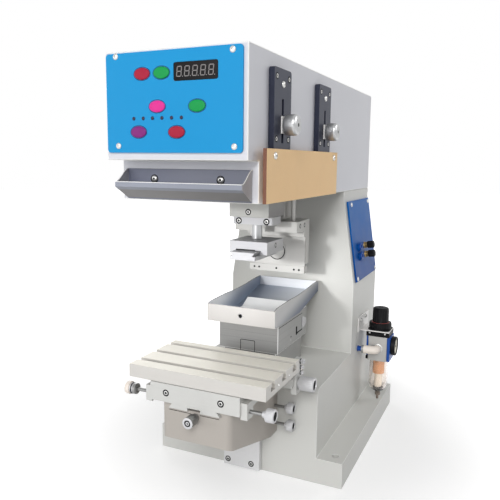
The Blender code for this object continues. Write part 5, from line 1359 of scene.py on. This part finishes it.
def makeRegulator():
    look = {"strip": (36.5 * mm, 3.4 * mm), "stripCorner": 1.6 * mm, "stripDown": 18.4 * mm,
            "latch": (9 * mm, 6.5 * mm, 1.5 * mm), "latchThick": 4.2 * mm,
            "screws": (0.1336, 0.1609), "screwRise": 6.0 * mm, "screw": (1.7 * mm, 0.9 * mm),
            "flangeInset": 1.5 * mm, "flangeCorner": 9 * mm, "flangeThick": 1.4 * mm, "flangeRise": 10.6 * mm,
            "ringDown": 10.6 * mm, "ringKnurl": (30, 0.5 * mm), "knobFacets": (12, 0.7 * mm),
            "redDown": 0.45 * mm}
    for name in ("regulator_body", "regulator_bonnet", "regulator_cover"):
        dressNode(name, soft=0.0006)
    bodyLow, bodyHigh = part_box("regulator_body")
    tall, thick = look["strip"]
    strip = roundedPlate(bodyHigh.y - bodyLow.y - 2 * mm, tall, look["stripCorner"])
    stripAt = (bodyLow.x - 3.6 * mm, (bodyLow.y + bodyHigh.y) / 2, bodyHigh.z - look["stripDown"])
    addPiece("regulator_side_strip", slab(strip, thick, stripAt, toRight), bluePlastic, "machine",
             soft=0.0006)
    latchAt = (bodyLow.x - 4.4 * mm, bodyLow.y + 5.5 * mm, bodyLow.z + 4.5 * mm)
    addPiece("regulator_latch", slab(roundedPlate(*look["latch"]), look["latchThick"], latchAt, toRight),
             black, "machine", soft=0.0006)
    plateLow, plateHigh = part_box("regulator_bonnet")
    domeScrews("bonnet_screws", [(x, plateLow.y, plateLow.z + look["screwRise"]) for x in look["screws"]],
               toFront, look["screw"])
    low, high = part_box("regulator_knob")
    x, y = (low.x + high.x) / 2, (low.y + high.y) / 2
    reach, tall = (high.x - low.x) / 2, high.z - low.z
    flange = roundedPlate(plateHigh.x - plateLow.x - look["flangeInset"],
                          plateHigh.y - plateLow.y - look["flangeInset"], look["flangeCorner"])
    addPiece("bonnet_flange", slab(flange, look["flangeThick"], (x, y, plateLow.z + look["flangeRise"]), up,
                                   top=toRear), black, "machine", soft=0.0004)
    knurl, facets = look["ringKnurl"], look["knobFacets"]
    lockRing = [(0, 18.6 * mm), (0, 19.6 * mm), (0.8 * mm, 20.0 * mm, knurl), (7.5 * mm, 20.0 * mm, knurl),
                (8.4 * mm, 19.6 * mm), (8.4 * mm, 18.6 * mm)]
    addPiece("regulator_lock_ring", turned(lockRing, (x, y, low.z - look["ringDown"]), up, 120, top=toRear),
             black, "machine")
    profile = [(0, 0), (0, reach * 0.95), (0.8 * mm, reach), (2.0 * mm, reach, facets),
               (tall - 3.6 * mm, reach * 0.98, facets), (tall - 2.0 * mm, reach * 0.95),
               (tall - 0.6 * mm, reach * 0.87), (tall, reach * 0.76), (tall, reach * 0.30),
               (tall - 0.6 * mm, reach * 0.26), (tall - 0.6 * mm, 0)]
    addPiece("regulator_knob_ribbed", turned(profile, (x, y, low.z), up, 144, top=toRear), black,
             "pressure_knob", replaces=("regulator_knob",), sharp=30)
    redProfile = [(0, 12.6 * mm), (0, 15.9 * mm), (0.4 * mm, 15.7 * mm), (0.4 * mm, 12.6 * mm)]
    addPiece("regulator_red_ring", turned(redProfile, (x, y, low.z - look["redDown"]), up, 64, top=toRear),
             redRing, "machine")


def makeGauge():
    # marks: how far out a mark starts, as a share of the radius, and half its width in millimetres
    look = {"ticks": 11, "between": 5, "sweep": 270, "needle": 0.42, "mainMark": (0.60, 0.28),
            "mark": (0.67, 0.12), "markEnd": 0.74, "markProud": 0.08 * mm, "needleHalf": 0.7 * mm,
            "needleAt": (0.25 * mm, 0.45 * mm), "needleLong": 0.66, "needleTail": 0.16, "cardDepth": 1.8 * mm,
            "cardThick": 0.15 * mm}
    centre, deep, reach = pointsRight("pressure_gauge")
    floor = deep - look["cardDepth"]
    case = turned([(0, 0), (0, reach * 0.95), (0.8 * mm, reach), (deep - 0.9 * mm, reach),
                   (deep - 0.2 * mm, reach * 0.98), (deep, reach * 0.94), (deep, reach * 0.86),
                   (floor, reach * 0.84), (floor, 0)], centre, toRight, 72)
    faceAt = Vector(centre) + toRight * floor
    card = turned(disc(0, look["cardThick"], reach * 0.83), faceAt, toRight, 72)
    matrix = facing(faceAt + toRight * look["cardThick"], toRight)

    def raised(outline, low, high):
        # an outline on the card, between two heights
        count = len(outline)
        corners = [(p.x, p.y, z) for z in (low, high) for p in outline]
        faces = [tuple(range(count))[::-1], tuple(range(count, 2 * count))]
        faces += [(i, (i + 1) % count, count + (i + 1) % count, count + i) for i in range(count)]
        return moved((corners, faces), matrix)

    def onDial(angle):
        return Vector((math.cos(angle), math.sin(angle))), Vector((-math.sin(angle), math.cos(angle)))

    marks, steps = [], (look["ticks"] - 1) * look["between"]
    for index in range(steps + 1):
        along, across = onDial(math.radians(90 + look["sweep"] / 2 - look["sweep"] * index / steps))
        start, half = look["mark"] if index % look["between"] else look["mainMark"]
        inner, outer, half = reach * start, reach * look["markEnd"], half * mm
        marks.append(raised([along * inner - across * half, along * outer - across * half,
                             along * outer + across * half, along * inner + across * half], 0,
                            look["markProud"]))
    along, across = onDial(math.radians(90 + look["sweep"] / 2 - look["sweep"] * look["needle"]))
    tail, half = look["needleTail"], look["needleHalf"]
    needle = raised([-along * reach * tail - across * half, along * reach * look["needleLong"],
                     -along * reach * tail + across * half], *look["needleAt"])
    hub = turned([(0, 0), (0, 1.6 * mm), (0.9 * mm, 1.4 * mm), (0.9 * mm, 0)], faceAt + toRight * 0.1 * mm,
                 toRight, 20)
    addPiece("pressure_gauge_dial", [(case, black), (card, dialCard), (together(*marks), black),
                                     (together(needle, hub), black)], None, "machine",
             replaces=("pressure_gauge",))


def makeBowl():
    look = {"wall": 2.0 * mm, "neck": 6.2 * mm, "shoulder": 16 * mm, "rim": 6 * mm, "knurl": (20, 0.35 * mm),
            "nut": ((-0.2 * mm, 4.9 * mm), (-0.2 * mm, 7.6 * mm), (0.3 * mm, 8.2 * mm), (3.2 * mm, 8.6 * mm),
                    (4.6 * mm, 10.6 * mm), (4.6 * mm, 4.9 * mm))}
    dressNode("filter_element", soft=0.0003)
    low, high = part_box("filter_bowl")
    centre = ((low.x + high.x) / 2, (low.y + high.y) / 2, low.z)
    reach, tall = (high.x - low.x) / 2, high.z - low.z
    wall, neck, shoulder = look["wall"], look["neck"], look["shoulder"]
    outer = []
    for step in range(13):
        angle = math.pi / 2 * (step / 12)
        outer.append((shoulder * (1 - math.cos(angle)) ** 0.9, neck + (reach - neck) * math.sin(angle)))
    inner = [(max(along + wall * 0.9, wall), max(radius - wall, neck - wall)) for along, radius in outer]
    profile = outer + [(tall - look["rim"], reach), (tall, reach), (tall, reach - wall),
                       (shoulder + wall, reach - wall)]
    profile += list(reversed([p for p in inner if p[0] < shoulder + wall]))
    addPiece("filter_bowl_clear", turned(profile, centre, up, 72, top=toRear), finishes["clear_bowl"],
             "machine", replaces=("filter_bowl",), sharp=45)
    addPiece("bowl_nut", turned(look["nut"], centre, up, 48, top=toRear), black, "machine")
    low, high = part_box("drain_valve")
    centre = ((low.x + high.x) / 2, (low.y + high.y) / 2, high.z)
    total, reach, knurl = high.z - low.z, (high.x - low.x) / 2, look["knurl"]
    drain = [(0, 0), (0, reach * 0.62), (3.4 * mm, reach * 0.62), (3.8 * mm, reach, knurl),
             (9 * mm, reach, knurl), (9.4 * mm, reach * 0.8), (10 * mm, reach * 0.5), (total, reach * 0.42),
             (total, reach * 0.2), (total - 2 * mm, reach * 0.2), (total - 2 * mm, 0)]
    addPiece("drain_valve_turned", turned(drain, centre, -up, 80, top=toRear), drainMetal, "drain",
             replaces=("drain_valve",), sharp=30)


def makeElbow():
    # reach is a radius; the collar and the wall ring have a radius and a length
    look = {"reach": 7.3 * mm, "bend": 7.4 * mm, "fromWall": 7 * mm, "fromRight": 9.5 * mm, "stub": 7.2 * mm,
            "collar": (7.2 * mm, 4.0 * mm), "tube": 4.4 * mm, "wallRing": (5.2 * mm, 1.6 * mm)}
    low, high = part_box("elbow_fitting")
    x, y, z = high.x - look["fromRight"], low.y + look["fromWall"], (low.z + high.z) / 2
    collarAt = low.x + look["stub"]
    base = turned([(0, 0), (0, 9.5 * mm), (1.2 * mm, 9.5 * mm), (1.6 * mm, 8.9 * mm), (1.6 * mm, 8.0 * mm),
                   (2.6 * mm, 7.6 * mm), (2.6 * mm, 0)], (x, high.y, z), toFront, 48)
    collarReach, collarLong = look["collar"]
    path = bendPath((x, high.y - 2.6 * mm, z), (x, y, z), (collarAt + collarLong + 0.2 * mm, y, z),
                    look["bend"])
    elbow = tubeAlong(path, look["reach"], 36)
    collar = turned([(0, 0), (0, collarReach * 0.92), (0.6 * mm, collarReach),
                     (collarLong - 0.6 * mm, collarReach), (collarLong, collarReach * 0.88), (collarLong, 0)],
                    (collarAt + collarLong, y, z), toLeft, 40)
    long = collarAt - low.x
    ringReach, ringLong = look["wallRing"]
    tube = turned([(0, 0), (0, look["tube"]), (long - ringLong, look["tube"]), (long - ringLong, ringReach),
                   (long, ringReach), (long, 0)], (collarAt, y, z), toLeft, 32)
    addPiece("elbow_fitting_formed", [(base, nickel), (elbow, white), (collar, steel), (tube, bluePlastic)],
             None, "machine", replaces=("elbow_fitting",))


makeServiceSide()
makeBracket()
makeRegulator()
makeGauge()
makeBowl()
makeElbow()
print("air side made")


# Floor, light and camera; a lamp has its place, its aim, watts, size in metres and spread in degrees
studio = {"lamps": {"front softbox": ((-0.8, -5.0, 1.1), (0, -0.05, 0.3), 58, 3.0, 180),
                    "high front lamp": ((1.2, -3.6, 2.6), (0, 0, 0.3), 88, 2.0, 180),
                    "rear right lamp": ((2.4, 1.6, 1.6), (0, 0, 0.3), 22, 1.5, 180),
                    "left lamp": ((-3.4, -3.2, 1.0), (0, 0, 0.3), 24, 2.0, 180),
                    "rear left lamp": ((-2.6, 2.4, 1.8), (0, 0, 0.3), 34, 2.0, 180),
                    "throat lamp": ((-0.26, -1.3, 0.51), (0.02, -0.06, 0.29), 0.042, 0.12, 11)},
          "sky": 0.17, "floorSize": 9.0, "floorSides": 96, "floorDrop": 0.0002, "floor": tone(205, 205, 205),
          "floorRoughness": 0.7, "floorSpecular": 0.2, "near": 0.45, "fade": (0.20, 0.60)}
photoView = {"sensor": 36, "lens": 42.018, "place": (0.36174, -0.95522, 0.47444), "pan": 24.649,
             "tilt": 81.431, "roll": 0.561}


def stageRays(tree):
    # 1 for the rays that should see a plain white stage: the camera's, in gloss and through clear plastic
    seen = tree.nodes.new("ShaderNodeLightPath")
    return mathNode(tree, "MAXIMUM", seen.outputs["Is Camera Ray"],
                    mathNode(tree, "MAXIMUM", seen.outputs["Is Glossy Ray"],
                             seen.outputs["Is Transmission Ray"]))


def makeFloor():
    sides, size = studio["floorSides"], studio["floorSize"]
    angles = [2 * math.pi * i / sides for i in range(sides)]
    mesh = bpy.data.meshes.new("floor")
    mesh.from_pydata([(size * math.cos(a), size * math.sin(a), 0) for a in angles], [], [tuple(range(sides))])
    floor = bpy.data.objects.new("floor", mesh)
    floor.location.z = -studio["floorDrop"]
    bpy.context.scene.collection.objects.link(floor)
    material = bpy.data.materials.new("pale floor")
    material.use_nodes = True
    tree = material.node_tree
    shader = tree.nodes["Principled BSDF"]
    shader.inputs["Base Color"].default_value = studio["floor"]
    shader.inputs["Roughness"].default_value = studio["floorRoughness"]
    shader.inputs["Specular IOR Level"].default_value = studio["floorSpecular"]
    shader.inputs["Emission Color"].default_value = (1, 1, 1, 1)
    place = tree.nodes.new("ShaderNodeTexCoord").outputs["Object"]
    away = tree.nodes.new("ShaderNodeVectorMath")
    away.operation = "LENGTH"
    tree.links.new(place, away.inputs[0])
    fade = tree.nodes.new("ShaderNodeMapRange")
    fade.interpolation_type = "SMOOTHSTEP"
    fade.inputs["From Min"].default_value = studio["fade"][0]
    fade.inputs["From Max"].default_value = studio["fade"][1]
    fade.inputs["To Min"].default_value = studio["near"]
    fade.inputs["To Max"].default_value = 1.0
    tree.links.new(away.outputs["Value"], fade.inputs["Value"])
    glow = mathNode(tree, "MULTIPLY", fade.outputs["Result"], stageRays(tree))
    tree.links.new(glow, shader.inputs["Emission Strength"])
    mesh.materials.append(material)


def makeSky():
    world = bpy.data.worlds.new("studio sky")
    bpy.context.scene.world = world
    world.use_nodes = True
    tree = world.node_tree
    sky = tree.nodes["Background"]
    sky.inputs["Color"].default_value = (1, 1, 1, 1)
    direct = mathNode(tree, "MULTIPLY", stageRays(tree), 1 - studio["sky"])
    strength = mathNode(tree, "ADD", direct, studio["sky"])
    tree.links.new(strength, sky.inputs["Strength"])


def addLamp(name, place, aim, watts, size, spread):
    lamp = bpy.data.lights.new(name, "AREA")
    lamp.energy = watts
    lamp.shape = "DISK"
    lamp.size = size
    lamp.spread = math.radians(spread)
    thing = bpy.data.objects.new(name, lamp)
    bpy.context.scene.collection.objects.link(thing)
    thing.location = place
    thing.rotation_euler = (Vector(aim) - thing.location).to_track_quat("-Z", "Y").to_euler()


def makeCamera():
    data = bpy.data.cameras.new("photo view")
    data.sensor_width = photoView["sensor"]
    data.lens = photoView["lens"]
    camera = bpy.data.objects.new("photo view", data)
    bpy.context.scene.collection.objects.link(camera)
    pan, tilt, roll = [Matrix.Rotation(math.radians(photoView[part]), 4, axis)
                       for part, axis in (("pan", "Z"), ("tilt", "X"), ("roll", "Z"))]
    camera.matrix_world = Matrix.Translation(photoView["place"]) @ (pan @ tilt @ roll)
    bpy.context.scene.camera = camera


makeFloor()
makeSky()
for name, values in studio["lamps"].items():
    addLamp(name, *values)
makeCamera()
bpy.context.scene.view_settings.view_transform = "Standard"
print("stage, lamps and camera set")

bpy.context.view_layer.update()
